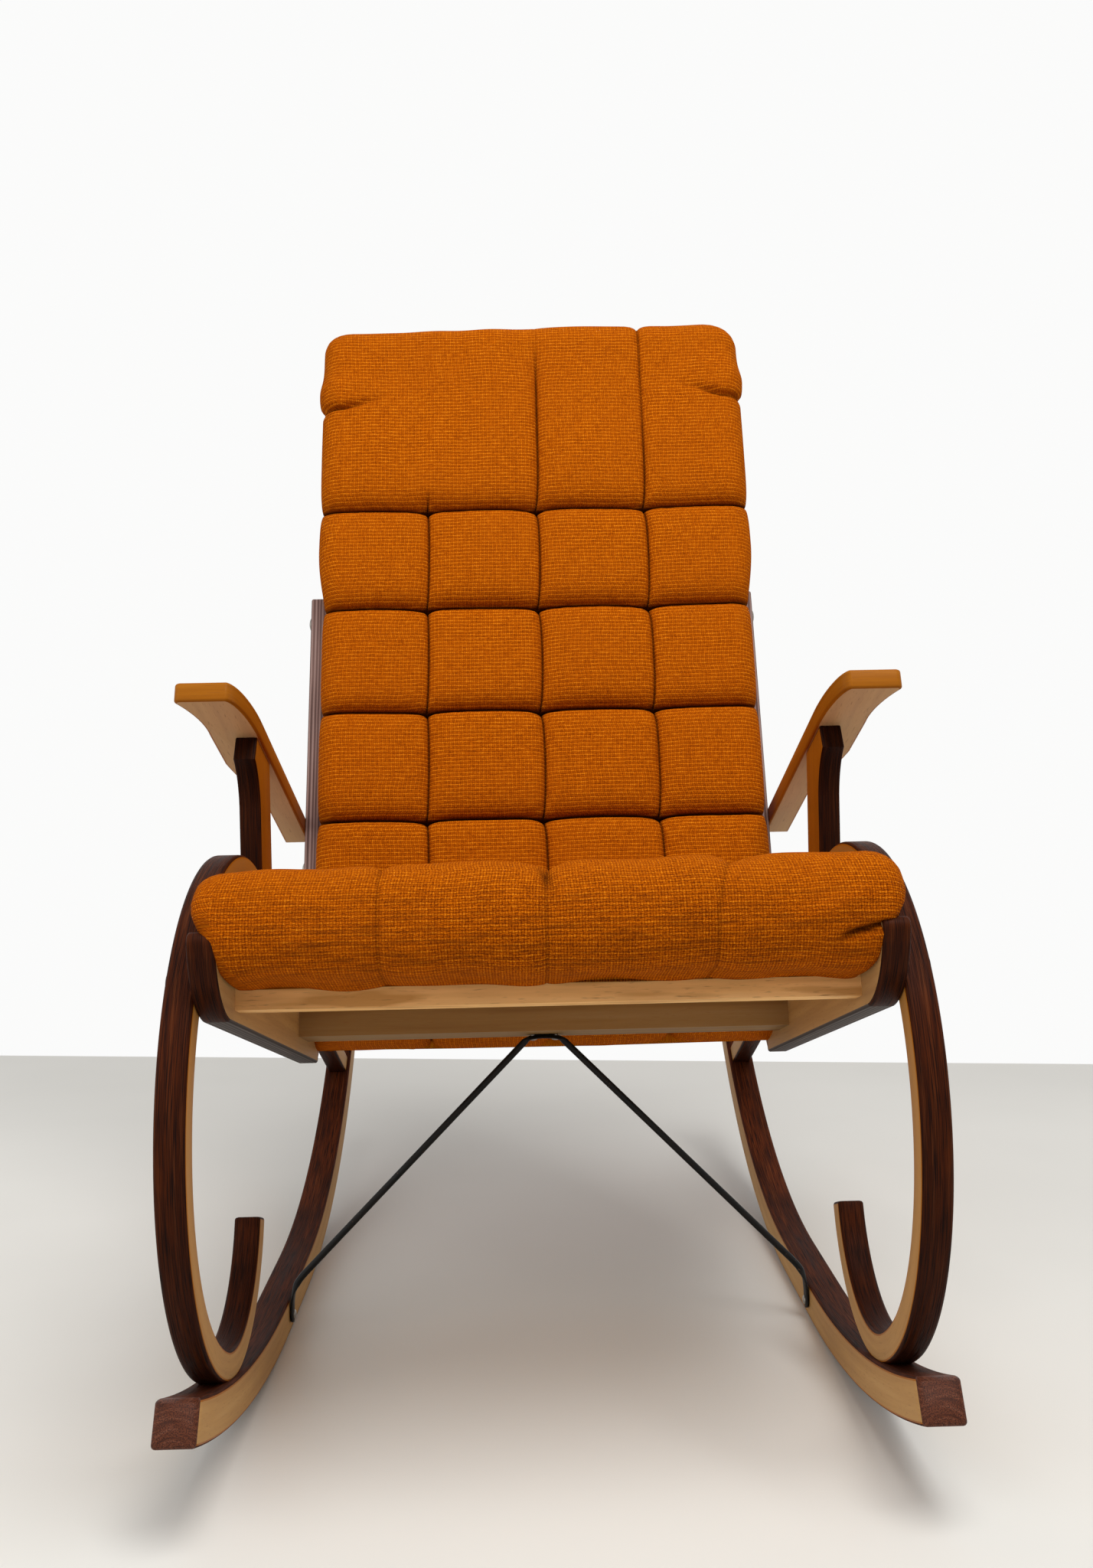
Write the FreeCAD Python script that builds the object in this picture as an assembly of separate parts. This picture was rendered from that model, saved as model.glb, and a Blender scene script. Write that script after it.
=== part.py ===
import FreeCAD, Part
import math
import os

from FreeCAD import Vector

# Bentwood rocking chair, in millimetres and degrees. +Z is up, the sitter faces -Y, and
# X = 0 is the plane of symmetry. The origin lies on the floor, midway along the runners.
# Side pieces are drawn at +X and mirrored.

# Runners
runner_radius = 1040.0      # underside of the front arc, in the side view
runner_rear_radius = 700.0  # underside of the rear arc
runner_height = 32.0
runner_width = 31.0
runner_flat_front = -110.0  # straight stretch between the arcs, which the empty chair stands on
runner_flat_rear = 15.0
runner_reach = 501.0        # front and rear tips, from the origin

# Hoops: one bent strip each side, from the scroll over the top to the runner's rear
hoop_width = 22.5
hoop_thick = 24.0
scroll_y = -323.0
scroll_radius = 126.0       # outside of the strip, like the two radii below
front_radius = 206.5
top_radius = 212.0
scroll_end = -19.0          # the free end, as an angle from +Y towards +Z
scroll_join = 243.5         # where the scroll runs into the front of the hoop
limb_slope = 25.5           # fall of the straight limb towards the rear
hoop_seat_depth = 3.0       # hollow in the runner that the scroll sits in

# Seat frame
side_plane_x = 252.0        # seat frame and hoops meet on this plane
rail_thick = 20.0
rail_height = 57.0
rail_slope = 15.45
rail_front_y = -431.0       # front end of the rail's straight lower edge
rail_front_z = 353.0
prow_length = 62.0
prow_height = 47.0
prow_brow = 7.5             # set-back of the prow's upper corner
prow_round = 0.8            # set-back of the middle of its round tip
prow_sweep_s = 0.66         # a place on the sweep below the tip, as shares of length and height
prow_sweep_n = 0.36
rail_chamfer = 30.0         # rise of the rail's rear lower corner
front_rail_thick = 22.0
front_rail_height = 33.0
front_rail_setback = 16.0
rear_rail_setback = 318.0
rear_rail_width = 60.0
rear_rail_height = 27.0
board_height = 43.0         # underside of the seat board above the rail's lower edge
board_thick = 6.0

# Back frame
stile_depth = 40.0
stile_length = 525.0
stile_lean = 19.2
stile_foot_y = -1.5         # front edge of the stile, at the rail's lower edge
upright_width = 27.0
upright_depth = 28.0
back_board_thick = 4.0
back_rail_height = 40.0
back_foot = 20.0            # lower end of the back frame, along the stile
back_length = 845.0         # upper end of the back frame, along the stile
back_bolt_inset = 24.0      # upper bolt below the stile's top
back_bolt_place = 210.0     # lower bolt, along the stile
middle_rail_drop = 14.0     # middle rail below the upper bolt
cover_thick = 3.0
cover_play = 8.0            # cover's sides start this far above the stiles

# Arms
arm_thick = 17.5
arm_slope = 21.0
arm_front_y = -250.0        # underside of the arm at its front edge
arm_front_z = 595.0
arm_overhang = 17.0         # rear end of the arm behind the middle of the stile
arm_front_x = 312.0
arm_corner_x = 266.0
arm_corner_length = 90.0
arm_waist_x = 297.0
arm_waist_length = 80.0
arm_shoulder_length = 150.0
arm_tail_x = 279.0
arm_tail_length = 246.0
arm_bow = 1.8               # swell of the slant from the shoulder to the tail
arm_curve_place = 0.4       # along the front curves, where they have made two thirds of their turn
post_width = 19.5
post_front_y = -163.0
post_rear_y = -110.0
post_nose = 23.0            # how far the nose stands ahead of the post
post_nose_drop = 25.0       # nose below the arm
post_cove = 45.0            # height of the hollow under the nose
post_hollow = 4.0           # how far the hollow is drawn in
post_lip = 9.0

# Cushions
tuft_pitch = 122.0
seat_rows = 3
seat_crown = 104.0          # top of the seat cushion above the rail's lower edge
seat_roll_drop = 17.0       # lower edge of the front roll above the rail's lower edge
seat_half_width = 249.0
roll_half_width = 257.0
roll_reach = 63.0           # front of the roll ahead of the rail's straight edge
back_rows = 5
back_crown = 62.0           # front of the back cushion ahead of the stiles
back_low_half_width = 241.0
back_top_half_width = 248.0
top_roll = 22.0             # top of the back cushion above the back frame
back_cushion_foot = 12.0
tuft_depth = 17.0           # seams below the crown
row_depth = 11.0            # crown lost along a seam between rows
tuft_shares = (0, 0.12, 0.35, 0.65, 0.88, 1)     # sections along one row
roll_turns = (0, 25, 50, 75, 90)                 # sections round a roll, in degrees
seam_share = 0.6            # part of a column seam's dip that is left at the seam between two rows
roll_crease = 0.15          # part of it that is left at the end of a roll
side_share = 0.45           # height of the side seams, as a share of the crown
side_swell = 4.0            # sides bowed outwards
side_draw = 3.0             # sides drawn in at a seam between rows
roll_fall = 34.0            # crown lost at the front of the seat's roll
roll_shoulder = 0.33        # share of the roll's reach where its crown is full
roll_corner = 0.67          # share of its reach where it is widest
roll_rise = 26.0            # lower edge gained there
top_fall = 8.0              # crown lost at the neck of the back's top roll
top_draw = 26.0             # front and rear drawn in at the top of that roll
seat_gap = 2.0              # between the seat cushion and the front of the back cushion
cushion_play = 0.5

# Brace under the seat
rod_radius = 3.25
rod_sides = 10
brace_top_half = 18.0
brace_screw_spread = 11.0   # screws under the rear rail, from the middle
brace_plate_thick = 3.5
brace_plate_width = 15.0
brace_plate_height = 26.0
brace_foot_y = -108.0
brace_foot_z = 17.0
brace_bend = 14.0           # upright stretch above a foot
brace_bend_radius = 8.4
brace_corner = 4.5          # rounding of the flattened feet
brace_rail_place = 0.62     # across the rear rail, from its front edge

# Fasteners
screw_radius = 2.0
screw_head_radius = 4.2
screw_head_height = 2.4
bolt_radius = 3.0
bolt_head_radius = 8.0
bolt_head_height = 4.0
bolt_end_wall = 3.0
bolt_crown = 0.7            # top of a head, as a share of its foot
rail_bolt_angle = 140.0     # bolt from the hoop's top into the rail, round the bend
lap_screw_shares = (0.38, 0.76)                  # up the rail's height
screw_bite = 0.65           # how far a screw enters the far piece, as a share of it
fastener_sides = 8
fastener_play = 0.1
tenon_length = 13.0
tenon_shoulder = 5.0
tenon_play = 0.1
edge_ease = 2.5             # chamfer along the edges of the wood


def spot(y, z):
    """A point of the side view."""
    return Vector(0, y, z)


def heading(angle):
    """Unit vector of the side view, counted from +Y towards +Z."""
    return spot(math.cos(math.radians(angle)), math.sin(math.radians(angle)))


def across(x):
    return Vector(x, 0, 0)


def line(start, end):
    return Part.makeLine(start, end)


def curve(start, middle, end):
    return Part.Arc(start, middle, end).toShape()


def arc(centre, radius, start, end):
    return curve(*[centre + heading(angle) * radius for angle in (start, (start + end) / 2, end)])


def loop(points):
    """Closed chain of straight edges."""
    return [line(a, b) for a, b in zip(points, points[1:] + points[:1])]


def crossing(p, p_way, q, q_way):
    """Where the side-view line through p meets the one through q."""
    gap = q - p
    turn = p_way.y * q_way.z - p_way.z * q_way.y
    return p + p_way * ((gap.y * q_way.z - gap.z * q_way.y) / turn)


def meet_circle(start, way, centre, radius):
    """Where the ray from start, inside the circle, reaches it."""
    away = start - centre
    half = away.dot(way)
    return start + way * (math.sqrt(half * half - away.dot(away) + radius * radius) - half)


def edge_middle(edge):
    return edge.valueAt((edge.FirstParameter + edge.LastParameter) / 2)


def prism(outline, x_low, x_high, ease=0.0, square=(), eased_x=None):
    """Side-view outline carried across X. Its rims, or only the one at eased_x, are chamfered,
    but not along the square edges."""
    face = Part.Face(Part.Wire(outline))
    face.translate(across(x_low))
    solid = face.extrude(across(x_high - x_low))
    if not ease:
        return solid
    soft = [edge_middle(edge) for number, edge in enumerate(outline) if number not in square]
    rims = []
    for edge in solid.Edges:
        middle = edge_middle(edge)
        flat = spot(middle.y, middle.z)
        on_rim = eased_x is None or abs(middle.x - eased_x) < 0.001
        if on_rim and any((flat - place).Length < 0.001 for place in soft):
            rims.append(edge)
    return solid.makeChamfer(ease, rims)


def mirrored(solid):
    return solid.mirror(Vector(0, 0, 0), Vector(1, 0, 0))


def both_sides(solids):
    return solids + [mirrored(solid) for solid in solids]


def turned(seat, way, rings):
    """Many-sided solid along way, through rings of (distance from seat, radius)."""
    turn = FreeCAD.Rotation(Vector(0, 0, 1), way)
    wires = []
    for distance, radius in rings:
        angles = [math.tau * number / fastener_sides for number in range(fastener_sides)]
        corners = [Vector(radius * math.cos(a), radius * math.sin(a), distance) for a in angles]
        wires.append(Part.Wire(loop([seat + turn.multVec(corner) for corner in corners])))
    return Part.makeLoft(wires, True, True)


def flush_screw(seat, way, length, play=0.0):
    """Countersunk screw from a point on a surface; play only widens its shank."""
    wide = screw_radius + play
    head = turned(seat, way, [(0, screw_head_radius), (screw_head_height, wide)])
    shank = turned(seat, way, [(screw_head_height, wide), (length + play, wide)])
    return head.fuse(shank).removeSplitter()


def round_bolt(seat, way, length, radius, head_radius, head_height):
    """Bolt or screw with a low head that sits on a surface."""
    shank = turned(seat, way, [(0, radius), (length, radius)])
    head = turned(seat, way, [(-head_height, head_radius * bolt_crown), (0, head_radius)])
    return head.fuse(shank).removeSplitter()


def bolt_hole(seat, way, length, radius):
    wide = radius + fastener_play
    return turned(seat, way, [(0, wide), (length + fastener_play, wide)])


# Side view: runner and hoop
runner_centre = spot(runner_flat_front, runner_radius)
runner_top_radius = runner_radius - runner_height
runner_rear_centre = spot(runner_flat_rear, runner_rear_radius)
runner_rear_top_radius = runner_rear_radius - runner_height
hoop_middle_x = side_plane_x + hoop_width / 2
hoop_outer_x = side_plane_x + hoop_width
runner_inner_x = hoop_middle_x - runner_width / 2
runner_outer_x = hoop_middle_x + runner_width / 2
out = across(1)
inward = across(-1)

scroll_gap = runner_top_radius - scroll_radius + hoop_seat_depth
scroll_offset = scroll_y - runner_flat_front
scroll_centre = runner_centre + spot(scroll_offset, -math.sqrt(scroll_gap ** 2 - scroll_offset ** 2))
front_centre = scroll_centre - heading(scroll_join) * (front_radius - scroll_radius)
top_centre = front_centre + heading(180) * (front_radius - top_radius)
limb_way = heading(-limb_slope)
limb_up = heading(90 - limb_slope)
limb_start = top_centre + limb_up * top_radius

# Side view: seat frame. s runs rearward along the rail's lower edge, n stands square on it.
seat_way = heading(-rail_slope)
seat_up = heading(90 - rail_slope)
seat_corner = spot(rail_front_y, rail_front_z)
rail_inner_x = side_plane_x - rail_thick

# Side view: back. t runs up the stile's front edge, m stands forward of it.
back_up = heading(90 - stile_lean)
back_front = heading(180 - stile_lean)
stile_foot = crossing(seat_corner, seat_way, spot(stile_foot_y, 0), spot(0, 1))
back_bottom_s = (stile_foot - seat_corner).dot(seat_way)
seat_rear_s = back_bottom_s - back_crown - seat_gap


def seat_point(s, n, x=0.0):
    return seat_corner + seat_way * s + seat_up * n + across(x)


def back_point(t, m, x=0.0):
    return stile_foot + back_up * t + back_front * m + across(x)


def seat_block(s_low, s_high, n_low, n_high, x_low, x_high):
    corners = [(s_low, n_low), (s_high, n_low), (s_high, n_high), (s_low, n_high)]
    return prism(loop([seat_point(s, n) for s, n in corners]), x_low, x_high)


def back_block(t_low, t_high, m_low, m_high, x_low, x_high):
    corners = [(t_low, m_low), (t_low, m_high), (t_high, m_high), (t_high, m_low)]
    return prism(loop([back_point(t, m) for t, m in corners]), x_low, x_high)


arm_way = heading(-arm_slope)
arm_up = heading(90 - arm_slope)


def limb_top(y):
    return limb_start + limb_way * ((y - limb_start.y) / limb_way.y)


def arm_point(s, x=0.0, rise=0.0):
    """Point on the arm: s rearward from its front edge, rise above its underside."""
    return spot(arm_front_y, arm_front_z) + arm_way * s + arm_up * rise + across(x)


def arm_under(y):
    return arm_point((y - arm_front_y) / math.cos(math.radians(arm_slope)))


# Places of the fasteners, in the side view
limb_middle = limb_start - limb_up * (hoop_thick / 2)


def hoop_screw_places():
    """Heads under the runner: below the scroll, and below the limb's foot."""
    foot = meet_circle(limb_middle, limb_way, runner_rear_centre, runner_rear_top_radius)
    places = []
    for centre, radius, above in ((runner_centre, runner_radius, scroll_centre),
                                  (runner_rear_centre, runner_rear_radius, foot)):
        way = (above - centre).normalize()
        places.append((centre + way * radius + across(hoop_middle_x), way * -1))
    return places


hoop_screw_length = runner_height + hoop_thick * screw_bite
bend_middle_radius = top_radius - hoop_thick / 2
rail_bolt_seat = top_centre + heading(rail_bolt_angle) * bend_middle_radius + across(hoop_outer_x)
frame_bolt_length = hoop_width + rail_thick - bolt_end_wall
stile_middle = back_point(0, -stile_depth / 2)
stile_bolt_seat = crossing(stile_middle, back_up, limb_middle, limb_way) + across(hoop_outer_x)
back_bolt_length = rail_thick + upright_width - bolt_end_wall
upright_middle_m = -back_board_thick - upright_depth / 2
back_bolt_seats = [back_point(t, upright_middle_m, side_plane_x)
                   for t in (back_bolt_place, stile_length - back_bolt_inset)]
arm_middle = arm_point(0, 0, arm_thick / 2)
arm_at_stile = crossing(stile_middle, back_up, arm_middle, arm_way)
arm_length = (arm_at_stile - arm_middle).dot(arm_way) + arm_overhang
arm_screw_seat = arm_at_stile + across(rail_inner_x)
arm_screw_length = rail_thick + (arm_tail_x - side_plane_x) * screw_bite
lap_screw_seats = [seat_point(back_bottom_s + stile_depth / 2, rail_height * share, rail_inner_x)
                   for share in lap_screw_shares]
lap_screw_length = rail_thick - bolt_end_wall
front_rail_low = board_height - front_rail_height
rear_rail_low = board_height - rear_rail_height
front_rail_place = (front_rail_setback, front_rail_thick, front_rail_low)
rear_rail_place = (rear_rail_setback, rear_rail_width, rear_rail_low)
upright_inner_x = rail_inner_x - upright_width
middle_rail_place = stile_length - back_bolt_inset - middle_rail_drop - back_rail_height
back_rail_places = [("back_lower_rail", back_foot), ("back_middle_rail", middle_rail_place),
                    ("back_top_rail", back_length - back_rail_height)]
back_rear = -back_board_thick - upright_depth
brace_seat_s = rear_rail_setback + rear_rail_width * brace_rail_place
brace_top = [seat_point(brace_seat_s, rear_rail_low, side * brace_screw_spread) for side in (-1, 1)]
brace_top_screw_length = rear_rail_height * screw_bite
brace_foot_screw_length = runner_width * screw_bite
brace_foot = Vector(runner_inner_x, brace_foot_y, brace_foot_z)


def runner():
    """Strip bent to two arcs with a straight stretch between them, and the hollow for the scroll."""
    down = 270
    front = down - math.degrees(math.asin((runner_reach + runner_flat_front) / runner_radius))
    rear = down + math.degrees(math.asin((runner_reach - runner_flat_rear) / runner_rear_radius))
    corners = [runner_centre + heading(front) * runner_radius, runner_centre + heading(down) * runner_radius,
               runner_rear_centre + heading(down) * runner_rear_radius,
               runner_rear_centre + heading(rear) * runner_rear_radius,
               runner_rear_centre + heading(rear) * runner_rear_top_radius,
               runner_rear_centre + heading(down) * runner_rear_top_radius,
               runner_centre + heading(down) * runner_top_radius,
               runner_centre + heading(front) * runner_top_radius]
    outline = loop(corners)
    outline[0] = arc(runner_centre, runner_radius, front, down)
    outline[2] = arc(runner_rear_centre, runner_rear_radius, down, rear)
    outline[4] = arc(runner_rear_centre, runner_rear_top_radius, rear, down)
    outline[6] = arc(runner_centre, runner_top_radius, down, front)
    solid = prism(outline, runner_inner_x, runner_outer_x, edge_ease)
    hollow = Part.makeCylinder(scroll_radius, runner_width, scroll_centre + across(runner_inner_x), out)
    solid = solid.cut(hollow)
    for seat, way in hoop_screw_places():
        solid = solid.cut(flush_screw(seat, way, hoop_screw_length, fastener_play))
    return solid.cut(bolt_hole(brace_foot, out, brace_foot_screw_length, screw_radius))


def hoop():
    """Scroll, front, top and limb as one strip of even thickness."""
    turns = [(scroll_centre, scroll_radius, scroll_end, scroll_join - 360),
             (front_centre, front_radius, scroll_join, 180),
             (top_centre, top_radius, 180, 90 - limb_slope)]
    outside = [arc(*turn) for turn in turns]
    inside = [arc(centre, radius - hoop_thick, end, start) for centre, radius, start, end in turns]
    limb_low = limb_start - limb_up * hoop_thick
    foot_top = meet_circle(limb_start, limb_way, runner_rear_centre, runner_rear_top_radius)
    foot_low = meet_circle(limb_low, limb_way, runner_rear_centre, runner_rear_top_radius)
    foot_middle = ((foot_top + foot_low) * 0.5 - runner_rear_centre).normalize()
    foot = curve(foot_top, runner_rear_centre + foot_middle * runner_rear_top_radius, foot_low)
    free_end = line(scroll_centre + heading(scroll_end) * (scroll_radius - hoop_thick),
                    scroll_centre + heading(scroll_end) * scroll_radius)
    outline = outside + [line(limb_start, foot_top), foot, line(foot_low, limb_low)]
    foot_number = len(outside) + 1
    outline += inside[::-1] + [free_end]
    solid = prism(outline, side_plane_x, hoop_outer_x, edge_ease, square=(foot_number,))
    for seat, way in hoop_screw_places():
        solid = solid.cut(flush_screw(seat, way, hoop_screw_length, fastener_play))
    for seat in (rail_bolt_seat, stile_bolt_seat):
        solid = solid.cut(bolt_hole(seat, inward, frame_bolt_length, bolt_radius))
    return solid.cut(post_tenon(limb_top, limb_up * -1, tenon_play))


def post_tenon(base, way, play=0.0):
    """Tongue on the foot or head of the arm post, along way from its base line."""
    front = post_front_y + tenon_shoulder - play
    rear = post_rear_y - tenon_shoulder + play
    reach = way * (tenon_length + play)
    sunk = way * -tenon_play
    corners = [base(front) + sunk, base(rear) + sunk, base(rear) + reach, base(front) + reach]
    low_x = hoop_outer_x - post_width + tenon_shoulder - play
    return prism(loop(corners), low_x, hoop_outer_x - tenon_shoulder + play)


def arm_post():
    """Upright between the limb and the arm, with a nose and a cove at its front."""
    foot_front = limb_top(post_front_y)
    foot_rear = limb_top(post_rear_y)
    head_rear = arm_under(post_rear_y)
    nose_y = post_front_y - post_nose
    head_front = arm_under(post_front_y - post_lip)
    nose = arm_under(nose_y) - spot(0, post_nose_drop)
    cove_foot = spot(post_front_y, nose.z - post_cove)
    cove_middle = (nose + cove_foot) * 0.5 + spot(post_hollow, post_hollow)
    outline = [line(foot_front, foot_rear), line(foot_rear, head_rear), line(head_rear, head_front),
               line(head_front, nose), curve(nose, cove_middle, cove_foot), line(cove_foot, foot_front)]
    solid = prism(outline, hoop_outer_x - post_width, hoop_outer_x, edge_ease / 2, square=(0, 2))
    return solid.fuse([post_tenon(limb_top, limb_up * -1), post_tenon(arm_under, arm_up)])


def armrest():
    """Board with a broad front, a waist, a shoulder and a narrow tail along the stile."""
    half_corner = arm_point(arm_corner_length * arm_curve_place, (arm_corner_x + side_plane_x * 2) / 3)
    half_waist = arm_point(arm_waist_length * arm_curve_place, (arm_front_x + arm_waist_x * 2) / 3)
    front_in = arm_point(0, arm_corner_x)
    front_out = arm_point(0, arm_front_x)
    inner = arm_point(arm_corner_length, side_plane_x)
    tail_in = arm_point(arm_length, side_plane_x)
    tail_out = arm_point(arm_length, arm_tail_x)
    tail = arm_point(arm_tail_length, arm_tail_x)
    shoulder = arm_point(arm_shoulder_length, arm_waist_x)
    waist = arm_point(arm_waist_length, arm_waist_x)
    slant = arm_point((arm_shoulder_length + arm_tail_length) / 2, (arm_waist_x + arm_tail_x) / 2 + arm_bow)
    outline = [line(front_in, front_out), curve(front_out, half_waist, waist), line(waist, shoulder),
               curve(shoulder, slant, tail), line(tail, tail_out), line(tail_out, tail_in),
               line(tail_in, inner), curve(inner, half_corner, front_in)]
    rise = arm_up * arm_thick
    solid = Part.Face(Part.Wire(outline)).extrude(rise)
    rims = []
    for edge in solid.Edges:
        chord = edge.lastVertex().Point - edge.firstVertex().Point
        if abs(chord.dot(arm_up)) < arm_thick / 2:
            rims.append(edge)
    solid = solid.makeChamfer(edge_ease, rims)
    solid = solid.cut(flush_screw(arm_screw_seat, out, arm_screw_length, fastener_play))
    return solid.cut(post_tenon(arm_under, arm_up, tenon_play))


# Lap joint of rail and stile: the rail keeps the outer half of the thickness, the stile the inner half
lap_x = side_plane_x - rail_thick / 2
lap_low_rear = crossing(stile_foot, heading(rail_chamfer), back_point(0, -stile_depth), back_up)
lap_top_front = crossing(seat_point(0, rail_height), seat_way, stile_foot, back_up)
lap_top_rear = crossing(seat_point(0, rail_height), seat_way, back_point(0, -stile_depth), back_up)


def seat_rail():
    """Bent rail with a prow in front and half a lap joint at its rear end."""
    tip = seat_point(-prow_length, prow_height)
    brow = seat_point(prow_brow - prow_length, rail_height)
    tip_round = seat_point(prow_round - prow_length, (prow_height + 2 * rail_height) / 3)
    sweep = seat_point(-prow_length * prow_sweep_s, prow_height * prow_sweep_n)
    prow = [curve(brow, tip_round, tip), curve(tip, sweep, seat_corner), line(seat_corner, stile_foot)]
    heel = [line(stile_foot, lap_low_rear), line(lap_low_rear, lap_top_rear), line(lap_top_rear, brow)]
    outer = prow + heel
    inner = prow + [line(stile_foot, lap_top_front), line(lap_top_front, brow)]
    solid = prism(outer, lap_x, side_plane_x, edge_ease, eased_x=side_plane_x)
    solid = solid.fuse(prism(inner, rail_inner_x, lap_x, edge_ease, (3,), rail_inner_x)).removeSplitter()
    for cross_rail in (front_rail_place, rear_rail_place):
        solid = solid.cut(seat_tenon(*cross_rail, tenon_play))
    for seat in lap_screw_seats:
        solid = solid.cut(flush_screw(seat, out, lap_screw_length, fastener_play))
    return solid.cut(bolt_hole(rail_bolt_seat, inward, frame_bolt_length, bolt_radius))


def back_stile():
    """Straight stile; the lower end keeps the inner half of the lap joint."""
    top_front = back_point(stile_length, 0)
    top_rear = back_point(stile_length, -stile_depth)
    outer = loop([lap_top_front, lap_top_rear, top_rear, top_front])
    inner = loop([stile_foot, lap_low_rear, top_rear, top_front])
    solid = prism(outer, lap_x, side_plane_x, edge_ease, (0,), side_plane_x)
    solid = solid.fuse(prism(inner, rail_inner_x, lap_x, edge_ease, (0,), rail_inner_x)).removeSplitter()
    for seat in lap_screw_seats:
        solid = solid.cut(flush_screw(seat, out, lap_screw_length, fastener_play))
    for seat in back_bolt_seats:
        solid = solid.cut(bolt_hole(seat, inward, back_bolt_length, bolt_radius))
    solid = solid.cut(bolt_hole(stile_bolt_seat, inward, frame_bolt_length, bolt_radius))
    return solid.cut(flush_screw(arm_screw_seat, out, arm_screw_length, fastener_play))


def seat_tenon(setback, depth, low, play=0.0):
    spare = tenon_shoulder - play
    return seat_block(setback + spare, setback + depth - spare, low + spare, board_height - spare,
                      rail_inner_x - tenon_play, rail_inner_x + tenon_length + play)


def seat_cross_rail(setback, depth, low):
    solid = seat_block(setback, setback + depth, low, board_height, -rail_inner_x, rail_inner_x)
    return solid.fuse(both_sides([seat_tenon(setback, depth, low)])).removeSplitter()


def seat_rear_rail():
    solid = seat_cross_rail(*rear_rail_place)
    for seat in brace_top:
        solid = solid.cut(bolt_hole(seat, seat_up, brace_top_screw_length, screw_radius))
    return solid


def back_upright():
    solid = back_block(back_foot, back_length, back_rear, -back_board_thick, upright_inner_x, rail_inner_x)
    for _, place in back_rail_places:
        solid = solid.cut(back_tenon(place, tenon_play))
    for seat in back_bolt_seats:
        solid = solid.cut(bolt_hole(seat, inward, back_bolt_length, bolt_radius))
    return solid


def back_tenon(place, play=0.0):
    spare = tenon_shoulder - play
    return back_block(place + spare, place + back_rail_height - spare,
                      back_rear + spare, -back_board_thick - spare,
                      upright_inner_x - tenon_play, upright_inner_x + tenon_length + play)


def back_rail(place):
    solid = back_block(place, place + back_rail_height, back_rear, -back_board_thick,
                       -upright_inner_x, upright_inner_x)
    return solid.fuse(both_sides([back_tenon(place)])).removeSplitter()


def back_cover():
    """Cloth over the rear of the back frame, with sides and a top above the stiles."""
    half = rail_inner_x + cover_thick
    shell = back_block(back_foot, back_length + cover_thick, back_rear - cover_thick, 0, -half, half)
    shell = shell.cut(back_block(back_foot, back_length, back_rear, 0, -rail_inner_x, rail_inner_x))
    beside = back_block(0, stile_length + cover_play, 2 * back_rear, 0,
                        rail_inner_x - cushion_play, half + cover_thick)
    return shell.cut(beside).cut(mirrored(beside))


def scalloped(point, half, side, seam, crown):
    """Edges over four tufts from +half to -half: arcs that dip to the seams between columns."""
    places = [half, tuft_pitch, 0, -tuft_pitch, -half]
    heights = [side, seam, seam, seam, side]
    ends = list(zip(places, heights))
    edges = []
    for (x_from, from_height), (x_to, to_height) in zip(ends, ends[1:]):
        top = point((x_from + x_to) / 2, crown)
        edges.append(curve(point(x_from, from_height), top, point(x_to, to_height)))
    return edges


def swelling(point, half, low, high):
    """Side of a cushion from low to high, bowed outwards."""
    middle = point(half + math.copysign(side_swell, half), (low + high) / 2)
    return curve(point(half, low), middle, point(half, high))


def back_section(t, half, crown, seam, rear=0.0):
    def point(x, m):
        return back_point(t, m, x)

    side = crown * side_share
    edges = [line(point(-half, rear), point(half, rear)), swelling(point, half, rear, side)]
    edges += scalloped(point, half, side, seam, crown) + [swelling(point, -half, rear, side)]
    return Part.Wire(Part.__sortEdges__(edges))


def seat_section(s, half, crown, seam, low):
    def point(x, n):
        return seat_point(s, n, x)

    step = rail_height + cushion_play
    inner = rail_inner_x - cushion_play
    shoulder = half - side_swell
    side = step + (crown - step) * side_share
    edges = [line(point(-inner, low), point(inner, low)), line(point(inner, low), point(inner, step)),
             line(point(inner, step), point(shoulder, step)), swelling(point, shoulder, step, side)]
    edges += scalloped(point, shoulder, side, seam, crown)
    edges += [swelling(point, -shoulder, step, side), line(point(-shoulder, step), point(-inner, step)),
              line(point(-inner, step), point(-inner, low))]
    return Part.Wire(Part.__sortEdges__(edges))


def tufted(rows):
    """Fuse of ruled lofts, one for each row of tufts."""
    solids = [Part.makeLoft(sections, True, True) for sections in rows]
    return solids[0].fuse(solids[1:])


def row_sections(section, start, end, half, crown, **more):
    """Sections of one row, whose crown and side swell from its seams to its middle."""
    sections = []
    for share in tuft_shares:
        full = 1 - (2 * share - 1) ** 4
        height = crown - row_depth * (1 - full)
        crease = tuft_depth * (seam_share + (1 - seam_share) * full)
        sections.append(section(start + (end - start) * share, half - side_draw * (1 - full),
                                height, height - crease, **more))
    return sections


def seat_cushion():
    """Three rows of tufts on the board, and the roll that hangs over the front rail."""
    front = front_rail_setback - cushion_play
    pitch = (seat_rear_s - front) / seat_rows
    rows = []
    for row in range(seat_rows):
        start = front + pitch * row
        rows.append(row_sections(seat_section, start, start + pitch, seat_half_width, seat_crown,
                                 low=board_height + board_thick))
    roll = []
    for turn in roll_turns:
        ahead = math.sin(math.radians(turn))
        fall = 1 - math.cos(math.radians(turn))
        crown = seat_crown - roll_fall * fall - row_depth * max(0, 1 - ahead / roll_shoulder)
        half = roll_half_width - (roll_half_width - seat_half_width) * abs(1 - ahead / roll_corner)
        crease = tuft_depth * (seam_share - (seam_share - roll_crease) * fall)
        roll.append(seat_section(front - (front + roll_reach) * ahead, half, crown, crown - crease,
                                 low=seat_roll_drop + roll_rise * fall))
    return tufted(rows + [roll])


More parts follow.
